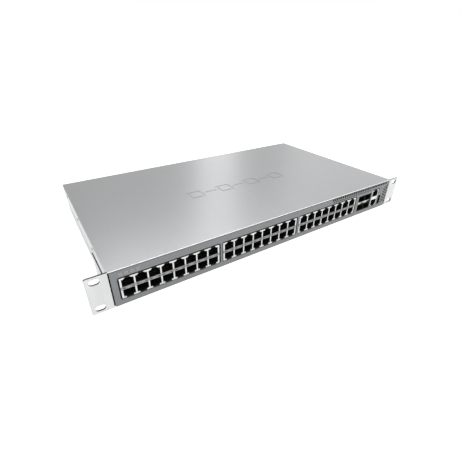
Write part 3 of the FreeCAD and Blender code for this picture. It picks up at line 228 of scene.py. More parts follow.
# hot-dip zinc freezes into crystals, so bare sheet shows faint patches with straight sides
SPANGLE = 6 * MM
steel, tree, shader, where = begin("spangled_zinc_sheet", 0.75, 0.4)
crystals = add(tree, "ShaderNodeTexVoronoi", {}, {"Vector": where, "Scale": 1 / SPANGLE, "Randomness": 1.0})
shade = add(tree, "ShaderNodeSeparateColor", {}, {"Color": crystals.outputs["Color"]})
mix = add(tree, "ShaderNodeMix", {"data_type": "RGBA"}, {
    0: shade.outputs[0], 6: tone("#BCBFC1"), 7: tone("#C5C8CA")})
tree.links.new(mix.outputs[2], shader.inputs["Base Color"])
polish_and_relief(tree, shader, shade.outputs[1], 0.45, 0.41, 0.005, 0.08)
finishes["case_metal"] = steel
# nickel on cold-headed steel, tumbled: bright, with tiny scuffs
finishes["screw_steel"] = plated("nickel_plated_screws", "#C9C9C8", "#DEDEDC", 0.32, 0.8)
# zinc on small pressed parts: greyer and cloudier than the ears
finishes["bracket_steel"] = plated("zinc_plated_brackets", "#B9BBBB", "#D3D5D5", 0.36, 3.0)
# wire polished by its own drawing die: long smooth highlights
finishes["bail_wire"] = plated("drawn_spring_wire", "#B4B5B4", "#C9CAC9", 0.28, 5.0, depth=0.002)
# chrome over welded wire: the brightest and sharpest reflections on the back
finishes["guard_wire"] = plated("chromed_guard_wire", "#C6C7C8", "#E2E3E4", 0.2, 2.0)
print(len(finishes), "case finishes")

# %% [markdown]
# ## The port finishes
# A modular jack is a black plastic block inside a tin-plated shield, with gilded spring wires.
# The plastic must be very dark and only faintly glossy, so that a mouth reads as a hole; the tin must
# be bright and soft, because those thin bars carry the rhythm of the whole front.

# %% Finishes of the ports
# glass-filled polyester, moulded black: so dark that a mouth reads as a hole
finishes["port_plastic"] = moulded("black_glass_filled_polyester", "#070707", "#0E0E0F", 0.5)
# tin over thin bronze, bright and slightly milky
finishes["shield_tin"] = plated("bright_tin_plate", "#CFCFCD", "#E2E2E0", 0.32, 2.5, (0.3, 1, 1),
                                metallic=0.7)
# a flash of gold over nickel on bronze wire, worn by plugs: a dim yellow gleam deep in the mouth
finishes["contact_gold"] = plated("gold_flashed_bronze", "#5C5140", "#7A6C54", 0.35, 0.9)
# screen-printed film between the rows: an even mid grey, flatter than the paint
finishes["strip_plastic"] = moulded("silver_printed_film", "#8F9192", "#9C9E9F", 0.42, 1.0, 0.01)
# smoked polycarbonate rods, polished at the face: dark and wet-looking while no light is on
finishes["light_pipe"] = moulded("smoked_polycarbonate", "#2C2E2E", "#3C3E3E", 0.22, 1.5, 0.005)
# nickel silver folded into a cage, dulled by handling: a brownish grey
finishes["cage_steel"] = plated("dulled_nickel_silver", "#3E3D3B", "#56544F", 0.42, 3.0)
# hard-rolled stainless springs, very bright
finishes["spring_steel"] = plated("rolled_stainless_spring", "#F0F0EE", "#FBFBFA", 0.3, 2.0, (0.3, 1, 1),
                                  metallic=0.4)
# tinned fingers that press on the cage: duller, because they are rubbed at every fitting
finishes["gasket_steel"] = plated("tin_plated_gasket_fingers", "#96958F", "#B4B2AC", 0.35, 2.0)
# blackened shell: almost as dark as the plastic, with a metal's glint on its rim
finishes["usb_steel"] = plated("blackened_usb_steel", "#2E2F30", "#444546", 0.35, 2.0)
# nylon, smooth from a polished mould: a little glossier than the jacks
finishes["usb_plastic"] = moulded("black_nylon_tongue", "#101011", "#18181A", 0.4)
print(len(finishes), "finishes so far")

# %% [markdown]
# ## The circuit board
# With the cover on, little of the inside shows, but the parts are also looked at one by one. A board
# could be plain green, but copper lies under its lacquer and makes paler lines and larger zones. A
# brick pattern with long thin bricks gives the lines, and slow patches give the zones.

# %% Solder mask over copper
# lacquer over copper on glass epoxy: dark green, with paler tracks standing a little proud
TRACK_LENGTH, FLAT = 9 * MM, (1, 1, 0.001)
board, tree, shader, where = begin("green_solder_mask", 0.0, 0.35, IOR=1.5)
turned = add(tree, "ShaderNodeMapping", {}, {"Vector": where, "Scale": FLAT})
tracks = add(tree, "ShaderNodeTexBrick", {}, {
    "Vector": turned.outputs[0], "Scale": 1 / TRACK_LENGTH, "Mortar Size": 0.06, "Brick Width": 1.7,
    "Row Height": 0.13, "Color1": tone("#0E2A1E"), "Color2": tone("#113024"), "Mortar": tone("#1A4230")})
zones = patches(tree, where, 22, tone("#0B2219"), tone("#1D4A36"), FLAT, 2.0)[0]
mix = add(tree, "ShaderNodeMix", {"data_type": "RGBA"}, {0: 0.3, 6: tracks.outputs["Color"], 7: zones})
tree.links.new(mix.outputs[2], shader.inputs["Base Color"])
polish_and_relief(tree, shader, tracks.outputs[1], 0.32, 0.42, 0.03, 0.6)
finishes["circuit_board"] = board
print("tracks about", round(TRACK_LENGTH / MM), "mm long")

# %% [markdown]
# ## Components and fittings
# A component is known by its surface as much as by its shape: a chip is dull and gritty, a can is
# bright on top and glossy round its sleeve, a coil is as coarse as fired clay. At the end of this cell
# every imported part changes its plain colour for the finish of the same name.

# %% Finishes of the components
# brass turned from bar: fine rings round each standoff
finishes["standoff_brass"] = plated("turned_brass", "#A98B45", "#CFB268", 0.28, 0.7, (1, 1, 4))
# clear anodised fins, drawn through a die: grey with long streaks
finishes["heat_sink"] = plated("clear_anodised_fins", "#8D9196", "#A5A9AE", 0.42, 3.0, (1, 0.08, 1), 0.02,
                               0.8)
# epoxy packed with silica: black, dull and slightly gritty
finishes["chip_epoxy"] = moulded("black_moulding_epoxy", "#141415", "#1D1D1F", 0.55, 0.5, 0.03)
# fired ceramic: charcoal, coarse and without gloss
finishes["ferrite"] = moulded("sintered_ferrite", "#2B2B2C", "#3D3C3B", 0.6, 0.8, 0.05)
# bare aluminium tops, stamped: pale and bright
finishes["capacitor_can"] = plated("bare_aluminium_cans", "#B2B4B5", "#CDCFD0", 0.3, 1.5)
# sleeve shrunk tight over a can: deep blue and glossy
finishes["capacitor_sleeve"] = moulded("dark_shrink_sleeve", "#16233A", "#1D2D49", 0.28, 3.0, 0.01)
# stamped stainless: the clock cell is the shiniest thing on the board
finishes["cell_steel"] = plated("stamped_cell_steel", "#BFC0BE", "#DBDCDA", 0.24, 2.0)
# undyed nylon: the cream colour of most board connectors
finishes["connector_plastic"] = moulded("natural_nylon_connectors", "#C9C4B4", "#D9D5C7", 0.42)
# soft vinyl round the leads: black, with a low waxy sheen
finishes["wire_jacket"] = moulded("flexible_vinyl_jacket", "#1A1A1B", "#2A2A2B", 0.4, 2.5, 0.02)
# glass-filled nylon of the fans: black with a satin skin
finishes["fan_plastic"] = moulded("black_fan_nylon", "#101011", "#191A1B", 0.46, 0.8, 0.03)
# nickel over brass: warm silver blades in the dark of an inlet
finishes["blade_brass"] = plated("nickel_plated_brass_blades", "#B8B6AE", "#D6D4CC", 0.25, 1.2)
# flame-proof nylon of the mains inlets: blacker and glossier than the fans
finishes["inlet_plastic"] = moulded("black_inlet_nylon", "#0D0D0E", "#151516", 0.38, 0.9, 0.02)
for part in nodes.values():
    for holder in part.material_slots:
        holder.material = finishes[holder.material.name]
print(len(finishes), "finishes on", len(nodes), "parts")

# %% [markdown]
# ## Softening the edges of a part
# Real sheet is bent over a radius and real plastic leaves the mould slightly rounded, and those
# narrow rounds are what catch the light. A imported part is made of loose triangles, so a copy is
# taken, its doubled corners are merged and its flat triangles joined, and a Bevel rounds
# whatever edge turns more than a set angle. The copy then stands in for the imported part.

# %% A softened copy of a part
SHARP = radians(40)  # an edge that turns more than this is a real edge
WELD = 0.001 * MM


def soften(name, suffix, edge, steps=2, look=None):
    """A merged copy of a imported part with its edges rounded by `edge` mm, standing in for it."""
    part = nodes[name]
    mesh = part.data.copy()
    mesh.name = f"{name}_{suffix}"
    work = bmesh.new()
    work.from_mesh(mesh)
    bmesh.ops.remove_doubles(work, verts=work.verts, dist=WELD)
    bmesh.ops.dissolve_limit(work, angle_limit=radians(0.3), verts=work.verts, edges=work.edges)
    work.to_mesh(mesh)
    work.free()
    mesh.shade_smooth()
    mesh.set_sharp_from_angle(angle=SHARP)
    piece = bpy.data.objects.new(mesh.name, mesh)
    scene.collection.objects.link(piece)
    if edge:
        bevel = piece.modifiers.new("rounded edges", "BEVEL")
        bevel.width = edge * MM
        bevel.segments = steps
        bevel.limit_method = "ANGLE"
        bevel.angle_limit = SHARP
        weigh = piece.modifiers.new("flat faces stay flat", "WEIGHTED_NORMAL")
        weigh.keep_sharp = True
        weigh.weight = 100
    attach(piece, part["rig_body"])
    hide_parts(name)
    if look:
        mesh.materials[0] = finishes[look]
    return piece


case = [soften("top_cover", "folded", 0.8, steps=3), soften("chassis_tray", "folded", 0.3),
        soften("front_bezel", "pressed", 0.18), soften("rear_panel", "pressed", 0.15),
        soften("left_rack_ear", "pressed", 0.3), soften("right_rack_ear", "pressed", 0.3)]
print([(piece.name, len(piece.data.polygons)) for piece in case])

# %% [markdown]
# ## Cut edges, and painted highlight and shade
# Sheet is coated or plated before it is punched, so its cut edges show bare steel. Some faces also carry
# painted light: the cover's front face is painted near white as a highlight, and faces inside the case
# are painted dark as shade. Such a place could be a separate strip of mesh, but it is the same sheet, so its
# faces only take a second finish. They are found by the way they face and by where their centres lie, which
# keeps working when the part's triangles change.

# %% Faces that differ from their part
def show_edges(piece, finish, chosen_by):
    """Gives the faces that pass a test, by normal and centre, a finish of their own: bare cut edges, a painted
    highlight or painted shade.
    """
    piece.data.materials.append(finish)
    chosen = [face for face in piece.data.polygons if chosen_by(face.normal, face.center)]
    for face in chosen:
        face.material_index = len(piece.data.materials) - 1
    print(piece.name, len(chosen), "refinished faces")


# punched after plating, so the cut edges are bare steel; the tone is also darker than bare steel, as painted
# shade on the ears' top and bottom edges and in the bezel's vents
cut_steel_and_shade = plated("bare_cut_steel_and_shade", "#55575A", "#6A6C6F", 0.5, 1.5)
# painted highlight: the cover's front face under its top edge is painted near white and glossy, where the
# folded edge catches the lamp
painted_highlight = plated("painted_highlight_silver_edge", "#F4F4F4", "#FCFCFC", 0.25, 3.0, (0.3, 1, 1), 0.004, 0.5)
# painted shade: the faces inside the lid and the tray are painted dark, where the case's own shade falls, so
# that vents and gaps read dark
inner_painted_shade = plated("dull_inner_painted_shade", "#2B2C2E", "#37383A", 0.7, 4.0, metallic=0.2)
# where on the case those faces lie: the ears' outer ends, the walls, and the bezel's vents
EAR_TIP, INNER_WALL = 235 * MM, 219.5 * MM
VENTS_X, SIDE_VENTS_X, BEZEL_END, VENTS_Z, BEZEL_TOP = (x * MM for x in (88, 206, 218, 13, 20))
for ear in case[4:]:
    show_edges(ear, cut_steel_and_shade, lambda way, spot: abs(way.z) > 0.3 or (
        abs(way.x) > 0.7 and abs(spot.x) > EAR_TIP))
# the cover's front face takes the painted highlight
show_edges(case[0], painted_highlight, lambda way, spot: way.y < -0.5 and spot.z > BEZEL_TOP and spot.y < MM)
# the faces inside the lid and the tray take the painted shade
show_edges(case[0], inner_painted_shade, lambda way, spot: way.z < -0.5 and spot.y > MM)
show_edges(case[1], inner_painted_shade, lambda way, spot: (way.z > 0.5 and spot.z < 0) or (
    way.x * spot.x < 0 and abs(spot.x) < INNER_WALL))
# the walls of the bezel's vents take the dark tone as painted shade
show_edges(case[2], cut_steel_and_shade, lambda way, spot: abs(way.y) < 0.3 and VENTS_X < spot.x < BEZEL_END and (
    VENTS_Z < spot.z < BEZEL_TOP or (spot.x > SIDE_VENTS_X and abs(spot.z) < BEZEL_TOP)))

# %% [markdown]
# ## Jacks, cage and the small plastics
# The same softening serves the jack blocks, their shields and the moulded parts, with a smaller
# radius: thin tin is sheared rather than bent, so its edges are nearly square.

# %% Softened ports and fittings
fine = []
for bank in (1, 2, 3):
    fine += [soften(f"port_bank_{bank}_shield", "sheared", 0.08),
             soften(f"port_bank_{bank}_housing", "moulded", 0.12)]
fine += [soften("management_jack_shield", "sheared", 0.08), soften("management_jack_housing", "moulded", 0.12),
         soften("uplink_cage", "folded", 0.06), soften("uplink_latch_springs", "rolled", 0.05),
         soften("usb_shell", "drawn", 0.08, look="usb_steel"), soften("usb_tongue", "moulded", 0.1),
         soften("port_light_pipes", "moulded", 0.08), soften("status_light_pipes", "moulded", 0.08),
         soften("port_label_strips", "printed", 0.05),
         soften("retainer_brackets", "pressed", 0.2), soften("power_inlet_1", "moulded", 0.3),
         soften("power_inlet_2", "moulded", 0.3), soften("inlet_blades", "cut", 0.25),
         soften("retainer_bail_1", "bent", 0), soften("retainer_bail_2", "bent", 0)]
fine += [soften(f"fan_frame_{number}", "moulded", 0.3) for number in (1, 2, 3, 4)]
# painted shade: the shields' tops behind the mouths are painted dark, where the case's shade falls on them
BEHIND_MOUTHS = 5 * MM
for shield in fine[0:6:2]:
    show_edges(shield, inner_painted_shade, lambda way, spot: way.z > 0.5 and spot.y > BEHIND_MOUTHS)
print(len(fine), "softened pieces,", sum(len(piece.data.polygons) for piece in fine), "faces")

# %% [markdown]
# ## Where the repeated pieces sit
# A case like this is full of equal small things: screws, contact wires, fan blades, guard rings.
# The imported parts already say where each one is, so no place is typed in twice. A part may hold many
# separate solids, and these are found by walking from corner to corner along the mesh's edges until
# no new corner turns up. The box round each solid then gives its seat.

# %% The separate solids of a part
def solid_boxes(name):
    """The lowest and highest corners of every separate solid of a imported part."""
    work = bmesh.new()
    work.from_mesh(nodes[name].data)
    bmesh.ops.remove_doubles(work, verts=work.verts, dist=WELD)
    left, boxes = set(work.verts), []
    while left:
        waiting, spots = [left.pop()], []
        while waiting:
            corner = waiting.pop()
            spots.append(corner.co.copy())
            for edge in corner.link_edges:
                other = edge.other_vert(corner)
                if other in left:
                    left.remove(other)
                    waiting.append(other)
        boxes.append((Vector(map(min, *spots)), Vector(map(max, *spots))))
    work.free()
    return sorted(boxes, key=lambda box: tuple(round(c / MM, 2) for c in box[0]))


print(len(solid_boxes("cover_screws")), "screws in the cover")

# %% [markdown]
# ## Trees that put a shape on every seat
# The copies could be made by a loop, but a Geometry Nodes tree keeps the sizes as named inputs, so one
# change reaches them all. Each tree here starts in the same way, with its seats, its sizes in
# millimetres and its finish, and ends in the same way: the copies are made real and take the finish.
# Shapes are drawn in millimetres along Z and shrunk to metres once, as they are seated.

# %% The start, the seats and the end of a tree
def start_tree(name, **sizes):
    """A tree over seats, with one named input for each size in mm, and one for the finish."""
    tree = bpy.data.node_groups.new(name, "GeometryNodeTree")
    sockets = tree.interface
    sockets.new_socket(name="Seats", in_out="INPUT", socket_type="NodeSocketGeometry")
    for size, value in sizes.items():
        socket = sockets.new_socket(name=size, in_out="INPUT", socket_type="NodeSocketFloat")
        socket.default_value = value
    sockets.new_socket(name="Finish", in_out="INPUT", socket_type="NodeSocketMaterial")
    sockets.new_socket(name="Pieces", in_out="OUTPUT", socket_type="NodeSocketGeometry")
    return tree, add(tree, "NodeGroupInput").outputs


def on_seats(tree, size, shape, seed):
    """Shrinks a shape to metres, and seats it with Z along each seat's facing and a turn of its own."""
    small = add(tree, "GeometryNodeTransform", {}, {"Geometry": shape, "Scale": (MM, MM, MM)})
    facing = add(tree, "GeometryNodeInputNamedAttribute", {"data_type": "FLOAT_VECTOR"}, {"Name": "facing"})
    lean = add(tree, "FunctionNodeAlignRotationToVector", {"axis": "Z"}, {"Vector": facing})
    seated = add(tree, "GeometryNodeInstanceOnPoints", {}, {
        "Points": size["Seats"], "Instance": small, "Rotation": lean})
    if seed is None:
        return seated
    chance = add(tree, "FunctionNodeRandomValue", {"data_type": "FLOAT"}, {2: 0.0, 3: 2 * pi, "Seed": seed})
    spin = add(tree, "ShaderNodeCombineXYZ", {}, {"Z": chance.outputs[1]})
    return add(tree, "GeometryNodeRotateInstances", {}, {"Instances": seated, "Rotation": spin})


def end_tree(tree, size, made):
    """The last nodes of every tree: instances made real, and the finish set."""
    real = add(tree, "GeometryNodeRealizeInstances", {}, {0: made})
    dressed = add(tree, "GeometryNodeSetMaterial", {}, {0: real, "Material": size["Finish"]})
    add(tree, "NodeGroupOutput", {}, {0: dressed})


print("trees in the file:", len(bpy.data.node_groups))

# %% [markdown]
# ## From a tree to a plain piece
# A modifier's result only exists while Blender evaluates it, and other programs can't read it. So the
# tree runs once over a holder, a mesh whose vertices are the seats and whose attribute says which way
# each one faces. The result is kept as a plain mesh, and the modifier is taken away.

# %% Growing a piece
GROWN_SHARP = radians(35)


def grow(name, tree, seats, slot, body="chassis", instead_of=None, edges=(), look=None, **sizes):
    """Runs a tree over seats, keeps the result as a plain mesh, and makes it ride on its body."""
    holder = bpy.data.meshes.new(f"{name}_seats")
    holder.from_pydata([spot for spot, way in seats], edges, [])
    facing = holder.attributes.new("facing", "FLOAT_VECTOR", "POINT")
    facing.data.foreach_set("vector", [c for spot, way in seats for c in way])
    piece = bpy.data.objects.new(name, holder)
    scene.collection.objects.link(piece)
    modifier = piece.modifiers.new(tree.name, "NODES")
    modifier.node_group = tree
    for socket in tree.interface.items_tree:
        if socket.name in sizes:
            modifier[socket.identifier] = float(sizes[socket.name])
        elif socket.name == "Finish":
            modifier[socket.identifier] = finishes[look or slot]
    grown = bpy.data.meshes.new_from_object(piece.evaluated_get(bpy.context.evaluated_depsgraph_get()))
    grown.name = name
    piece.modifiers.clear()
    piece.data = grown
    grown.shade_smooth()
    grown.set_sharp_from_angle(angle=GROWN_SHARP)
    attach(piece, body)
    if instead_of:
        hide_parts(instead_of)
    print(name, len(seats), "seats,", len(grown.polygons), "faces")


print("grown pieces turn sharp above", round(GROWN_SHARP / radians(1)), "degrees")

# %% [markdown]
# ## The head of a screw
# Cold-headed screws with a cross recess hold the cover, the ears, the fans and the board.
# A lathe curve would give one head, but four kinds are needed. So the head is one cone of rings, and a
# rule draws the rings in towards the top for a domed head, or leaves them straight for a countersunk
# one. The rule is an arc's: each ring is scaled by the square root of one less a share that grows with
# its height.

# %% A domed or countersunk head
DOME_FALL = 2.5  # the higher this power, the later and steeper the dome falls to its rim
screw, size = start_tree("cross_recess_screw", rim=2.8, base=2.8, head=1.1, dome=0.5, shank=1.5, length=5.0,
                         cross=2.6, groove=0.55)
head = add(screw, "GeometryNodeMeshCone", {}, {
    "Vertices": 28, "Side Segments": 5, "Depth": size["head"],
    "Radius Top": size["rim"], "Radius Bottom": size["base"]})
spot = add(screw, "ShaderNodeSeparateXYZ", {}, {0: add(screw, "GeometryNodeInputPosition")})
rise = add(screw, "ShaderNodeMath", {"operation": "DIVIDE"}, {0: spot.outputs["Z"], 1: size["head"]})
bulge = add(screw, "ShaderNodeMath", {"operation": "POWER"}, {0: rise, 1: DOME_FALL})
loss = add(screw, "ShaderNodeMath", {"operation": "MULTIPLY"}, {0: bulge, 1: size["dome"]})
keep = add(screw, "ShaderNodeMath", {"operation": "SUBTRACT"}, {0: 1.0, 1: loss})
reach = add(screw, "ShaderNodeMath", {"operation": "SQRT"}, {0: keep})
drawn = [add(screw, "ShaderNodeMath", {"operation": "MULTIPLY"}, {0: spot.outputs[axis], 1: reach})
         for axis in "XY"]
moved = add(screw, "ShaderNodeCombineXYZ", {}, {"X": drawn[0], "Y": drawn[1], "Z": spot.outputs["Z"]})
domed = add(screw, "GeometryNodeSetPosition", {}, {"Geometry": head, "Position": moved})
print("head:", len(screw.nodes), "nodes")

# %% [markdown]
# ## Shank and cross
# The shank is a plain cylinder, because its thread is hidden in the sheet. It starts a little way inside
# the head, so that the two overlap and a union can join them into one closed body. The cross is cut by
# two thin bars. At last the top of the head is moved to the seat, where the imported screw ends.

# %% The whole screw
SUNK = 0.3
TURN_SEED = 7
overlap = add(screw, "ShaderNodeMath", {"operation": "ADD"}, {0: size["length"], 1: SUNK})
stem = add(screw, "GeometryNodeMeshCylinder", {}, {"Vertices": 20, "Radius": size["shank"], "Depth": overlap})
sunk = add(screw, "ShaderNodeMath", {"operation": "MULTIPLY_ADD"}, {0: overlap, 1: -0.5, 2: SUNK})
low_stem = add(screw, "GeometryNodeTransform", {}, {
    "Geometry": stem, "Translation": add(screw, "ShaderNodeCombineXYZ", {}, {"Z": sunk})})
whole = add(screw, "GeometryNodeMeshBoolean", {"operation": "UNION", "solver": "EXACT"}, {1: [domed, low_stem]})
bars = []
for wide, tall in (("cross", "groove"), ("groove", "cross")):
    block = add(screw, "ShaderNodeCombineXYZ", {}, {"X": size[wide], "Y": size[tall], "Z": size["head"]})
    bar = add(screw, "GeometryNodeMeshCube", {}, {"Size": block})
    bars.append(add(screw, "GeometryNodeTransform", {}, {
        "Geometry": bar, "Translation": add(screw, "ShaderNodeCombineXYZ", {}, {"Z": size["head"]})}))
cross_cut = add(screw, "GeometryNodeMeshBoolean", {"operation": "DIFFERENCE", "solver": "EXACT"}, {
    0: whole, 1: bars})
top = add(screw, "ShaderNodeMath", {"operation": "MULTIPLY"}, {0: size["head"], 1: -1.0})
level = add(screw, "GeometryNodeTransform", {}, {
    "Geometry": cross_cut, "Translation": add(screw, "ShaderNodeCombineXYZ", {}, {"Z": top})})
end_tree(screw, size, on_seats(screw, size, level, TURN_SEED))
print("screw:", len(screw.nodes), "nodes")

# %% [markdown]
# ## Screws on their seats
# The same tree gives every kind of screw: pan heads in the cover, the fans and the board, and
# countersunk ones in the legs of the ears, which lie flush so that the rack's posts clear them.
# Nobody lines screws up, so every one is turned by a random amount with a fixed seed.

# %% Four kinds of screw
def screw_seats(name, axis):
    """Where each screw of a part shows its head, and the way it faces along one axis."""
    seats = []
    for low, high in solid_boxes(name):
        spot, way = (low + high) / 2, Vector((0, 0, 0))
        way[axis] = -1 if axis == 0 and spot.x < 0 else 1
        spot[axis] = low[axis] if way[axis] < 0 else high[axis]
        seats.append((spot, way))
    return seats


grow("cover_screw_heads", screw, screw_seats("cover_screws", 0), "screw_steel", instead_of="cover_screws")
grow("ear_screw_heads", screw, screw_seats("rack_ear_screws", 0), "screw_steel", instead_of="rack_ear_screws",
     rim=3.0, base=1.6, head=1.5, dome=0.0, length=4.0, cross=3.0, groove=0.6)
grow("fan_screw_heads", screw, screw_seats("fan_screws", 1), "screw_steel", instead_of="fan_screws",
     rim=3.1, base=3.1, head=1.9, dome=0.55, shank=2.0, length=9.0, cross=3.2, groove=0.7)
grow("board_screw_heads", screw, screw_seats("board_screws", 2), "screw_steel", instead_of="board_screws",
     rim=2.8, base=2.8, head=1.8, dome=0.5, shank=1.45, length=4.2, cross=2.8, groove=0.6)

# %% [markdown]
# ## A wire along a path
# A bent wire could be a chain of cylinders, but those gape at the corners. Here the holder has the
# route as edges, and the tree turns edges into a curve, rounds its corners and sweeps a small profile
# along it. There are four hundred wires in the jacks, so each one stays coarse: six sides and three
# steps round a bend.

# %% A wire tree
wire, size = start_tree("wire_along_a_route", wire=0.17, bend=0.5, sides=6.0)
run = add(wire, "GeometryNodeMeshToCurve", {}, {0: size["Seats"]})
bend = add(wire, "ShaderNodeMath", {"operation": "MULTIPLY"}, {0: size["bend"], 1: MM})
rounded = add(wire, "GeometryNodeFilletCurve", {"mode": "POLY"}, {"Curve": run, "Count": 3, "Radius": bend})
thick = add(wire, "ShaderNodeMath", {"operation": "MULTIPLY"}, {0: size["wire"], 1: MM})
ring = add(wire, "GeometryNodeCurvePrimitiveCircle", {}, {"Resolution": size["sides"], "Radius": thick})
swept = add(wire, "GeometryNodeCurveToMesh", {}, {"Curve": rounded, "Profile Curve": ring, "Fill Caps": True})
end_tree(wire, size, swept)
print("wire:", len(wire.nodes), "nodes")

# %% [markdown]
# ## The routes of the contacts
# Every jack holds eight gilded wires. Each runs forward beside the band between the rows, turns back in
# a tight hairpin at the mouth and slants into the cavity, where it springs against the plug. So the
# wires of an upper jack stand on their root, and those of a lower one hang from it.

# %% Contact wires
MIDDLE_OF_BANKS = -2.9 * MM
WIRE = 0.17 * MM
SLANT = 6.7 * MM  # how far back from the hairpin a wire's free end reaches
routes, links = [], []
for low, high in solid_boxes("jack_contacts"):
    x, up = (low.x + high.x) / 2, low.z > MIDDLE_OF_BANKS
    root, tip = (low.z + WIRE, high.z - WIRE) if up else (high.z - WIRE, low.z + WIRE)
    first = len(routes)
    for y, z in ((high.y, root), (low.y + WIRE, root), (low.y + SLANT, tip)):
        routes.append((Vector((x, y, z)), (0, 0, 1)))
    links += [(first, first + 1), (first + 1, first + 2)]
grow("contact_wires", wire, routes, "contact_gold", instead_of="jack_contacts", edges=links)

# %% [markdown]
# ## A wire guard
# Behind each fan is a guard: three rings on four spokes, spot-welded from chromed wire, with an eye
# at each corner for its screw. A torus would do for a ring, but a circle swept by a round profile uses
# the same wire size for everything. The spoke with its eye is made once and turned four times.

# %% The guard tree
FAN_CORNER = 16 * 2 ** 0.5  # the screws of a 40 mm fan stand 32 mm apart, so 16 mm each way
SPOKES = 4
guard, size = start_tree("fan_guard", inner=6.0, middle=11.5, outer=17.0, wire=0.8, spoke=0.6,
                         corner=FAN_CORNER, eye=2.9)
profile = add(guard, "GeometryNodeCurvePrimitiveCircle", {}, {"Resolution": 10, "Radius": size["wire"]})
rings = [add(guard, "GeometryNodeCurveToMesh", {}, {"Profile Curve": profile, "Curve": add(
    guard, "GeometryNodeCurvePrimitiveCircle", {}, {"Resolution": 64, "Radius": size[ring]})})
    for ring in ("inner", "middle", "outer")]
start = add(guard, "ShaderNodeCombineXYZ", {}, {"X": size["inner"]})
finish = add(guard, "ShaderNodeMath", {"operation": "SUBTRACT"}, {0: size["corner"], 1: size["eye"]})
line = add(guard, "GeometryNodeCurvePrimitiveLine", {}, {
    "Start": start, "End": add(guard, "ShaderNodeCombineXYZ", {}, {"X": finish})})
thin = add(guard, "GeometryNodeCurvePrimitiveCircle", {}, {"Resolution": 10, "Radius": size["spoke"]})
spoke = add(guard, "GeometryNodeCurveToMesh", {}, {"Curve": line, "Profile Curve": thin, "Fill Caps": True})
loop = add(guard, "GeometryNodeCurveToMesh", {}, {"Profile Curve": profile, "Curve": add(
    guard, "GeometryNodeCurvePrimitiveCircle", {}, {"Resolution": 24, "Radius": size["eye"]})})
eye = add(guard, "GeometryNodeTransform", {}, {
    "Geometry": loop, "Translation": add(guard, "ShaderNodeCombineXYZ", {}, {"X": size["corner"]})})
arm = add(guard, "GeometryNodeJoinGeometry", {}, {0: [spoke, eye]})
quarter = add(guard, "ShaderNodeMath", {"operation": "MULTIPLY_ADD"}, {
    0: add(guard, "GeometryNodeInputIndex"), 1: 2 * pi / SPOKES, 2: pi / SPOKES})
arms = add(guard, "GeometryNodeInstanceOnPoints", {}, {
    "Points": add(guard, "GeometryNodePoints", {}, {"Count": SPOKES}), "Instance": arm,
    "Rotation": add(guard, "ShaderNodeCombineXYZ", {}, {"Z": quarter})})
welded = add(guard, "GeometryNodeJoinGeometry", {}, {0: rings + [arms]})
end_tree(guard, size, on_seats(guard, size, welded, None))
print("guard:", len(guard.nodes), "nodes")

# %% [markdown]
# ## Guards behind the fans
# Each guard sits behind its own fan, so its place across and up comes from the fan's frame, and its
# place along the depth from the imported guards. All four are one piece, because none of them moves.

# %% Fan guards
fans = [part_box(f"fan_frame_{number}") for number in (1, 2, 3, 4)]
guard_low, guard_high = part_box("fan_guards")
middle = (guard_low.y + guard_high.y) / 2
guard_seats = [(Vector(((low.x + high.x) / 2, middle, (low.z + high.z) / 2)), (0, 1, 0)) for low, high in fans]
grow("fan_guard_wires", guard, guard_seats, "guard_wire", instead_of="fan_guards")

# %% [markdown]
# ## The blades of a fan
# A fan's blades are twisted and swept forward, to move air quietly. A flat tilted plate would be a
# stand-in. Here each blade starts as a thin block of small cells, and every point of it is sent to a
# radius and turned by an angle that grows along the blade and outwards.

# %% Twisted blades
BLADES = 7
ROOT_SUNK = 0.5
rotor, size = start_tree("fan_rotor", hub=10.8, tip=18.2, cup=18.0, shell=1.0, chord=11.5, sheet=0.9,
                         twist=0.62, sweep=0.42, shaft=1.0, reach=18.9)
block = add(rotor, "GeometryNodeMeshCube", {}, {
    "Size": (1, 1, 1), "Vertices X": 7, "Vertices Y": 2, "Vertices Z": 6})
spot = add(rotor, "ShaderNodeSeparateXYZ", {}, {0: add(rotor, "GeometryNodeInputPosition")})
root = add(rotor, "ShaderNodeMath", {"operation": "SUBTRACT"}, {0: size["hub"], 1: ROOT_SUNK})
radius = add(rotor, "ShaderNodeMapRange", {}, {
    "Value": spot.outputs["X"], "From Min": -0.5, "From Max": 0.5, "To Min": root, "To Max": size["tip"]})
along = add(rotor, "ShaderNodeMath", {"operation": "MULTIPLY"}, {0: spot.outputs["Z"], 1: size["twist"]})
out = add(rotor, "ShaderNodeMath", {"operation": "MULTIPLY_ADD"}, {
    0: spot.outputs["X"], 1: size["sweep"], 2: along})
skin = add(rotor, "ShaderNodeMath", {"operation": "DIVIDE"}, {0: size["sheet"], 1: radius})
angle = add(rotor, "ShaderNodeMath", {"operation": "MULTIPLY_ADD"}, {0: spot.outputs["Y"], 1: skin, 2: out})
height = add(rotor, "ShaderNodeMath", {"operation": "MULTIPLY"}, {0: spot.outputs["Z"], 1: size["chord"]})
flat = add(rotor, "ShaderNodeCombineXYZ", {}, {"X": radius, "Z": height})
swung = add(rotor, "ShaderNodeVectorRotate", {"rotation_type": "Z_AXIS"}, {"Vector": flat, "Angle": angle})
blade = add(rotor, "GeometryNodeSetPosition", {}, {"Geometry": block, "Position": swung})
turn_each = add(rotor, "ShaderNodeMath", {"operation": "MULTIPLY"}, {
    0: add(rotor, "GeometryNodeInputIndex"), 1: 2 * pi / BLADES})
blades = add(rotor, "GeometryNodeInstanceOnPoints", {}, {
    "Points": add(rotor, "GeometryNodePoints", {}, {"Count": BLADES}), "Instance": blade,
    "Rotation": add(rotor, "ShaderNodeCombineXYZ", {}, {"Z": turn_each})})
print("blades:", len(rotor.nodes), "nodes")

# %% [markdown]
# ## The cup and its shaft
# The blades stand on a moulded cup that slips over the motor: closed in front, where the air comes in,
# and open behind, towards the base on the frame. One cylinder cut out of another makes it, and a thin
# pin is the shaft. The shapes only overlap, as a union with seven curved blades would gain nothing.

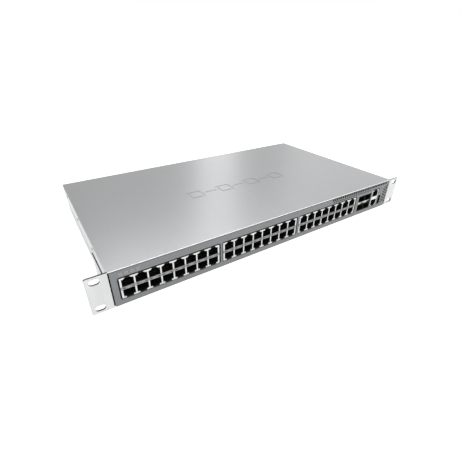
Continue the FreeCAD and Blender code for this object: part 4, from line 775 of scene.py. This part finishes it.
# %% Cup, shaft and blades together
CUP_FLOOR, PIN_FOOT = 1.2, 0.6
cup = add(rotor, "GeometryNodeMeshCylinder", {}, {"Vertices": 48, "Radius": size["hub"], "Depth": size["cup"]})
inside = add(rotor, "ShaderNodeMath", {"operation": "SUBTRACT"}, {0: size["hub"], 1: size["shell"]})
hollow = add(rotor, "GeometryNodeTransform", {}, {"Translation": (0, 0, CUP_FLOOR), "Geometry": add(
    rotor, "GeometryNodeMeshCylinder", {}, {"Vertices": 48, "Radius": inside, "Depth": size["cup"]})})
open_cup = add(rotor, "GeometryNodeMeshBoolean", {"operation": "DIFFERENCE", "solver": "EXACT"}, {
    0: cup, 1: hollow})
pin = add(rotor, "GeometryNodeMeshCylinder", {}, {
    "Vertices": 16, "Radius": size["shaft"], "Depth": size["reach"]})
high_pin = add(rotor, "ShaderNodeMath", {"operation": "SUBTRACT"}, {0: size["reach"], 1: size["cup"]})
half_up = add(rotor, "ShaderNodeMath", {"operation": "MULTIPLY_ADD"}, {0: high_pin, 1: 0.5, 2: PIN_FOOT})
raised = add(rotor, "GeometryNodeTransform", {}, {
    "Geometry": pin, "Translation": add(rotor, "ShaderNodeCombineXYZ", {}, {"Z": half_up})})
spinning = add(rotor, "GeometryNodeJoinGeometry", {}, {0: [blades, open_cup, raised]})
end_tree(rotor, size, on_seats(rotor, size, spinning, None))
print("rotor:", len(rotor.nodes), "nodes")

# %% [markdown]
# ## A rotor in every fan
# Each rotor turns on its own shaft, so each is a piece of its own and rides on its own body. Its seat
# is on that shaft, half a cup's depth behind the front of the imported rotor.

# %% Four rotors
HALF_CUP = 9 * MM
for number in (1, 2, 3, 4):
    low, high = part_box(f"fan_rotor_{number}")
    hub = Vector(((low.x + high.x) / 2, low.y + HALF_CUP, (low.z + high.z) / 2))
    grow(f"fan_rotor_{number}_blades", rotor, [(hub, (0, 1, 0))], "fan_plastic", body=f"fan_rotor_{number}",
         instead_of=f"fan_rotor_{number}")

# %% [markdown]
# ## Printed marks on the front
# The front carries a little screen printing: a row of four small squares at the left, which echoes the
# pressed row on the cover, and the numbers of the ports. An image could be laid over the paint, but ink
# is a film with a thickness, so the marks are thin solids that stand a few hundredths of a millimetre
# proud. Each square is a plate less a smaller plate, and a tree seats the row.

# %% A row of squares
HOLE_DEPTHS = 3.0  # the plate that is cut away is thicker, so that it comes out on both sides
frames, size = start_tree("printed_frame", wide=2.8, tall=2.8, thick=0.06, hole_wide=2.0, hole_tall=2.0)
plates = []
for wide, tall, deep in (("wide", "tall", 1.0), ("hole_wide", "hole_tall", HOLE_DEPTHS)):
    depth = add(frames, "ShaderNodeMath", {"operation": "MULTIPLY"}, {0: size["thick"], 1: deep})
    plates.append(add(frames, "GeometryNodeMeshCube", {}, {"Size": add(
        frames, "ShaderNodeCombineXYZ", {}, {"X": size[wide], "Y": size[tall], "Z": depth})}))
frame_plate = add(frames, "GeometryNodeMeshBoolean", {"operation": "DIFFERENCE", "solver": "EXACT"}, {
    0: plates[0], 1: [plates[1]]})
end_tree(frames, size, on_seats(frames, size, frame_plate, None))

# two screen inks, matt and even: a dark one on the pale strips, a pale one on the dark bezel
finishes["dark_ink"] = moulded("dark_screen_ink", "#3A3B3C", "#454647", 0.5, 0.4, 0.002)
finishes["pale_ink"] = moulded("screen_printed_ink", "#A2A4A6", "#B2B4B6", 0.5, 0.4, 0.002)
bezel_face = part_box("front_bezel")[0].y
INK = 0.06 * MM
ROW_X, ROW_Z, ROW_PITCH, SQUARES = -208.5 * MM, 15.1 * MM, 5.9 * MM, 4
row = [(Vector((ROW_X + k * ROW_PITCH, bezel_face - INK / 2, ROW_Z)), (0, -1, 0)) for k in range(SQUARES)]
grow("printed_squares", frames, row, "bezel_paint", look="pale_ink")

# %% [markdown]
# ## One number in ink
# Text in Blender is a curve, and a curve can't be joined to a mesh or exported as one. So each number
# becomes a mesh first, and is then turned to face forwards and put in place. A low resolution is
# enough for figures two millimetres high.

# %% A number as a mesh
def numeral(number, height, place, into):
    """Adds one number, facing forwards and centred on a place, to a mesh that is being built."""
    text = bpy.data.curves.new("numeral", "FONT")
    text.body, text.size, text.extrude, text.resolution_u = str(number), height, INK / 2, 2
    text.align_x, text.align_y = "CENTER", "CENTER"
    holder = bpy.data.objects.new("numeral", text)
    mesh = bpy.data.meshes.new_from_object(holder)
    mesh.transform(Matrix.Translation(place) @ Matrix.Rotation(radians(90), 4, "X"))
    into.from_mesh(mesh)
    bpy.data.objects.remove(holder)
    bpy.data.curves.remove(text)
    bpy.data.meshes.remove(mesh)


print("ink stands", round(INK / MM, 2), "mm proud")

# %% [markdown]
# ## Port numbers
# Every column of jacks has its two port numbers printed between its two lights, the upper port's on
# the left and the lower one's on the right, and the four module bays are numbered above the cage.
# The columns are found from the lights, two to a column, and all the figures are joined into one
# piece, as one screen prints them in one stroke.

# %% Numbers on the strips and above the cage
ink = bmesh.new()
PORT_FIGURE, PORT_APART = 2.1 * MM, 1.5 * MM
strip_low, strip_high = solid_boxes("port_label_strips")[0]
strip_middle = (strip_low.z + strip_high.z) / 2
lights = solid_boxes("port_light_pipes")
columns = [(left[0].x + right[1].x) / 2 for left, right in zip(lights[0::2], lights[1::2])]
for index, x in enumerate(columns):
    for side in (0, 1):
        across = (2 * side - 1) * PORT_APART
        place = (x + across, strip_low.y - INK / 2, strip_middle)
        numeral(2 * index + side + 1, PORT_FIGURE, place, ink)

BAYS, BAY_FIGURE, BAY_PITCH, ABOVE_CAGE = 4, 1.9 * MM, 3.6 * MM, 2.6 * MM
cage_low, cage_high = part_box("uplink_cage")
for index in range(BAYS):
    x = (cage_low.x + cage_high.x) / 2 + (index - (BAYS - 1) / 2) * BAY_PITCH
    place = (x, bezel_face - INK / 2, cage_high.z + ABOVE_CAGE)
    numeral(2 * len(columns) + 1 + index, BAY_FIGURE, place, ink)
bmesh.ops.remove_doubles(ink, verts=ink.verts, dist=WELD)
numbers_mesh = bpy.data.meshes.new("port_numbers")
ink.to_mesh(numbers_mesh)
ink.free()
numbers_mesh.materials.append(finishes["dark_ink"])
numbers = bpy.data.objects.new("port_numbers", numbers_mesh)
scene.collection.objects.link(numbers)
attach(numbers, "chassis")
print(len(columns), "columns,", len(numbers_mesh.polygons), "faces of ink")

# %% [markdown]
# ## A back-lit table
# A product like this is shown on a table of opal acrylic that is lit from below. A plain white plane
# would keep a grey shadow round the object, and an opal one hardly does, because it glows a little of
# itself. It is marked as part of the stage, so it isn't counted as part of the switch.

# %% The floor
REACH, GLOW, BELOW = 40.0, 0.7, 0.2 * MM
WHITE = (1.0, 1.0, 1.0, 1.0)
floor_mesh = bpy.data.meshes.new("studio_floor")
corners = [(-REACH, -REACH, 0), (REACH, -REACH, 0), (REACH, REACH, 0), (-REACH, REACH, 0)]
floor_mesh.from_pydata(corners, [], [(0, 1, 2, 3)])
floor_mesh.transform(Matrix.Translation((0, 0, cad_low.z - BELOW)))
floor = bpy.data.objects.new("studio_floor", floor_mesh)
scene.collection.objects.link(floor)
# opal acrylic, cast and sanded: white, even and without a highlight
opal, tree, shader, where = begin("back_lit_opal_table", 0.0, 0.8)
shader.inputs["Emission Color"].default_value = WHITE
shader.inputs["Emission Strength"].default_value = GLOW
tree.links.new(patches(tree, where, 60, tone("#F7F7F7"), tone("#FBFBFB"))[0], shader.inputs["Base Color"])
floor.data.materials.append(opal)
floor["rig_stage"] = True
print("floor at", round((cad_low.z - BELOW) / MM, 1), "mm")

# %% [markdown]
# ## A light tent
# Metal shows what it reflects, so the surroundings matter as much as the lamps. A tent of white cloth
# stands round the table. It is white near the horizon and greyer overhead, where its roof gets less
# light, and the cover mirrors that fall as a change of tone from its front edge to its back.

# %% The tent
HORIZON, ROOF, BRIGHT, DIM = 0.05, 0.4, 1.02, 0.4
world = bpy.data.worlds.new("light_tent")
world.use_nodes = True
sky = world.node_tree
way = add(sky, "ShaderNodeSeparateXYZ", {}, {0: add(sky, "ShaderNodeTexCoord").outputs["Generated"]})
fade = add(sky, "ShaderNodeMapRange", {"interpolation_type": "SMOOTHSTEP"}, {
    "Value": way.outputs["Z"], "From Min": HORIZON, "From Max": ROOF, "To Min": BRIGHT, "To Max": DIM})
sky.links.new(fade.outputs[0], sky.nodes["Background"].inputs["Strength"])
sky.nodes["Background"].inputs["Color"].default_value = WHITE
scene.world = world
print("tent from", BRIGHT, "at the horizon to", DIM, "overhead")

# %% [markdown]
# ## Five soft lamps
# Large lamps close to the object give soft edges to every highlight. One in front lights the ears and
# the jacks, and a wide one brightens the cover's front edge. Two behind are mirrored in the cover as
# broad soft streaks, and one on the right keeps that side from going dull.

# %% The lamps
def lamp(name, place, target, wide, tall, power):
    """A broad lamp that faces a point: sizes in metres, power in watts."""
    data = bpy.data.lights.new(name, "AREA")
    data.shape, data.size, data.size_y, data.energy = "RECTANGLE", wide, tall, power
    holder = bpy.data.objects.new(name, data)
    holder.location = place
    holder.rotation_mode = "QUATERNION"
    holder.rotation_quaternion = (Vector(target) - Vector(place)).to_track_quat("-Z", "Y")
    scene.collection.objects.link(holder)
    print(name, power, "W")


lamp("front_lamp", (-1.0, -0.9, 0.9), (0, 0.1, 0), 0.9, 0.9, 2)
lamp("edge_lamp", (0.5, -0.9, 1.0), (0, 0, 0), 1.8, 0.5, 4.5)
lamp("streak_lamp", (0.867, 1.639, 0.9), (0, 0.13, 0), 0.3, 1.3, 1.2)
lamp("high_lamp", (0.4, 0.98, 1.2), (-0.1, 0, 0), 1.35, 0.5, 4.6)
lamp("right_lamp", (1.8, 1.0, 0.85), (0.1, 0.1, 0), 1.4, 1.0, 1.8)
scene.view_settings.view_transform = "Standard"

# %% [markdown]
# ## The camera
# The camera stands in front and to the left, and looks down across the cover, so that the ports, one
# ear and the whole lid show at once. It could be aimed by a constraint, but a turn, a tilt and a small
# roll say plainly how it is held, and they are applied in the order in which a tripod makes them.
# The lens is wide and the camera close, so the far end of the case shrinks visibly.

# %% A camera on its tripod
STAND = Vector((-250.24, -257.34, 206.03)) * MM
TURN, TILT, ROLL = -33.03, 90 - 30.52, 0.28
camera = bpy.data.objects.new("camera", bpy.data.cameras.new("camera"))
camera.data.lens = 24.64
camera.data.clip_start = 10 * MM
scene.collection.objects.link(camera)
hold = [Matrix.Rotation(radians(angle), 4, axis) for angle, axis in ((TURN, "Z"), (TILT, "X"), (ROLL, "Z"))]
camera.matrix_world = Matrix.Translation(STAND) @ hold[0] @ hold[1] @ hold[2]
scene.camera = camera
print("camera at", [round(x / MM) for x in camera.location], "mm")

# %% [markdown]
# ## The size at the end
# The dressed model may not outgrow the imported one, so its box is printed here, as the imported one's was at
# the start.

# %% The dressed box
low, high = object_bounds()
print("visual box", [round((b - a) / MM, 2) for a, b in zip(low, high)], "mm")
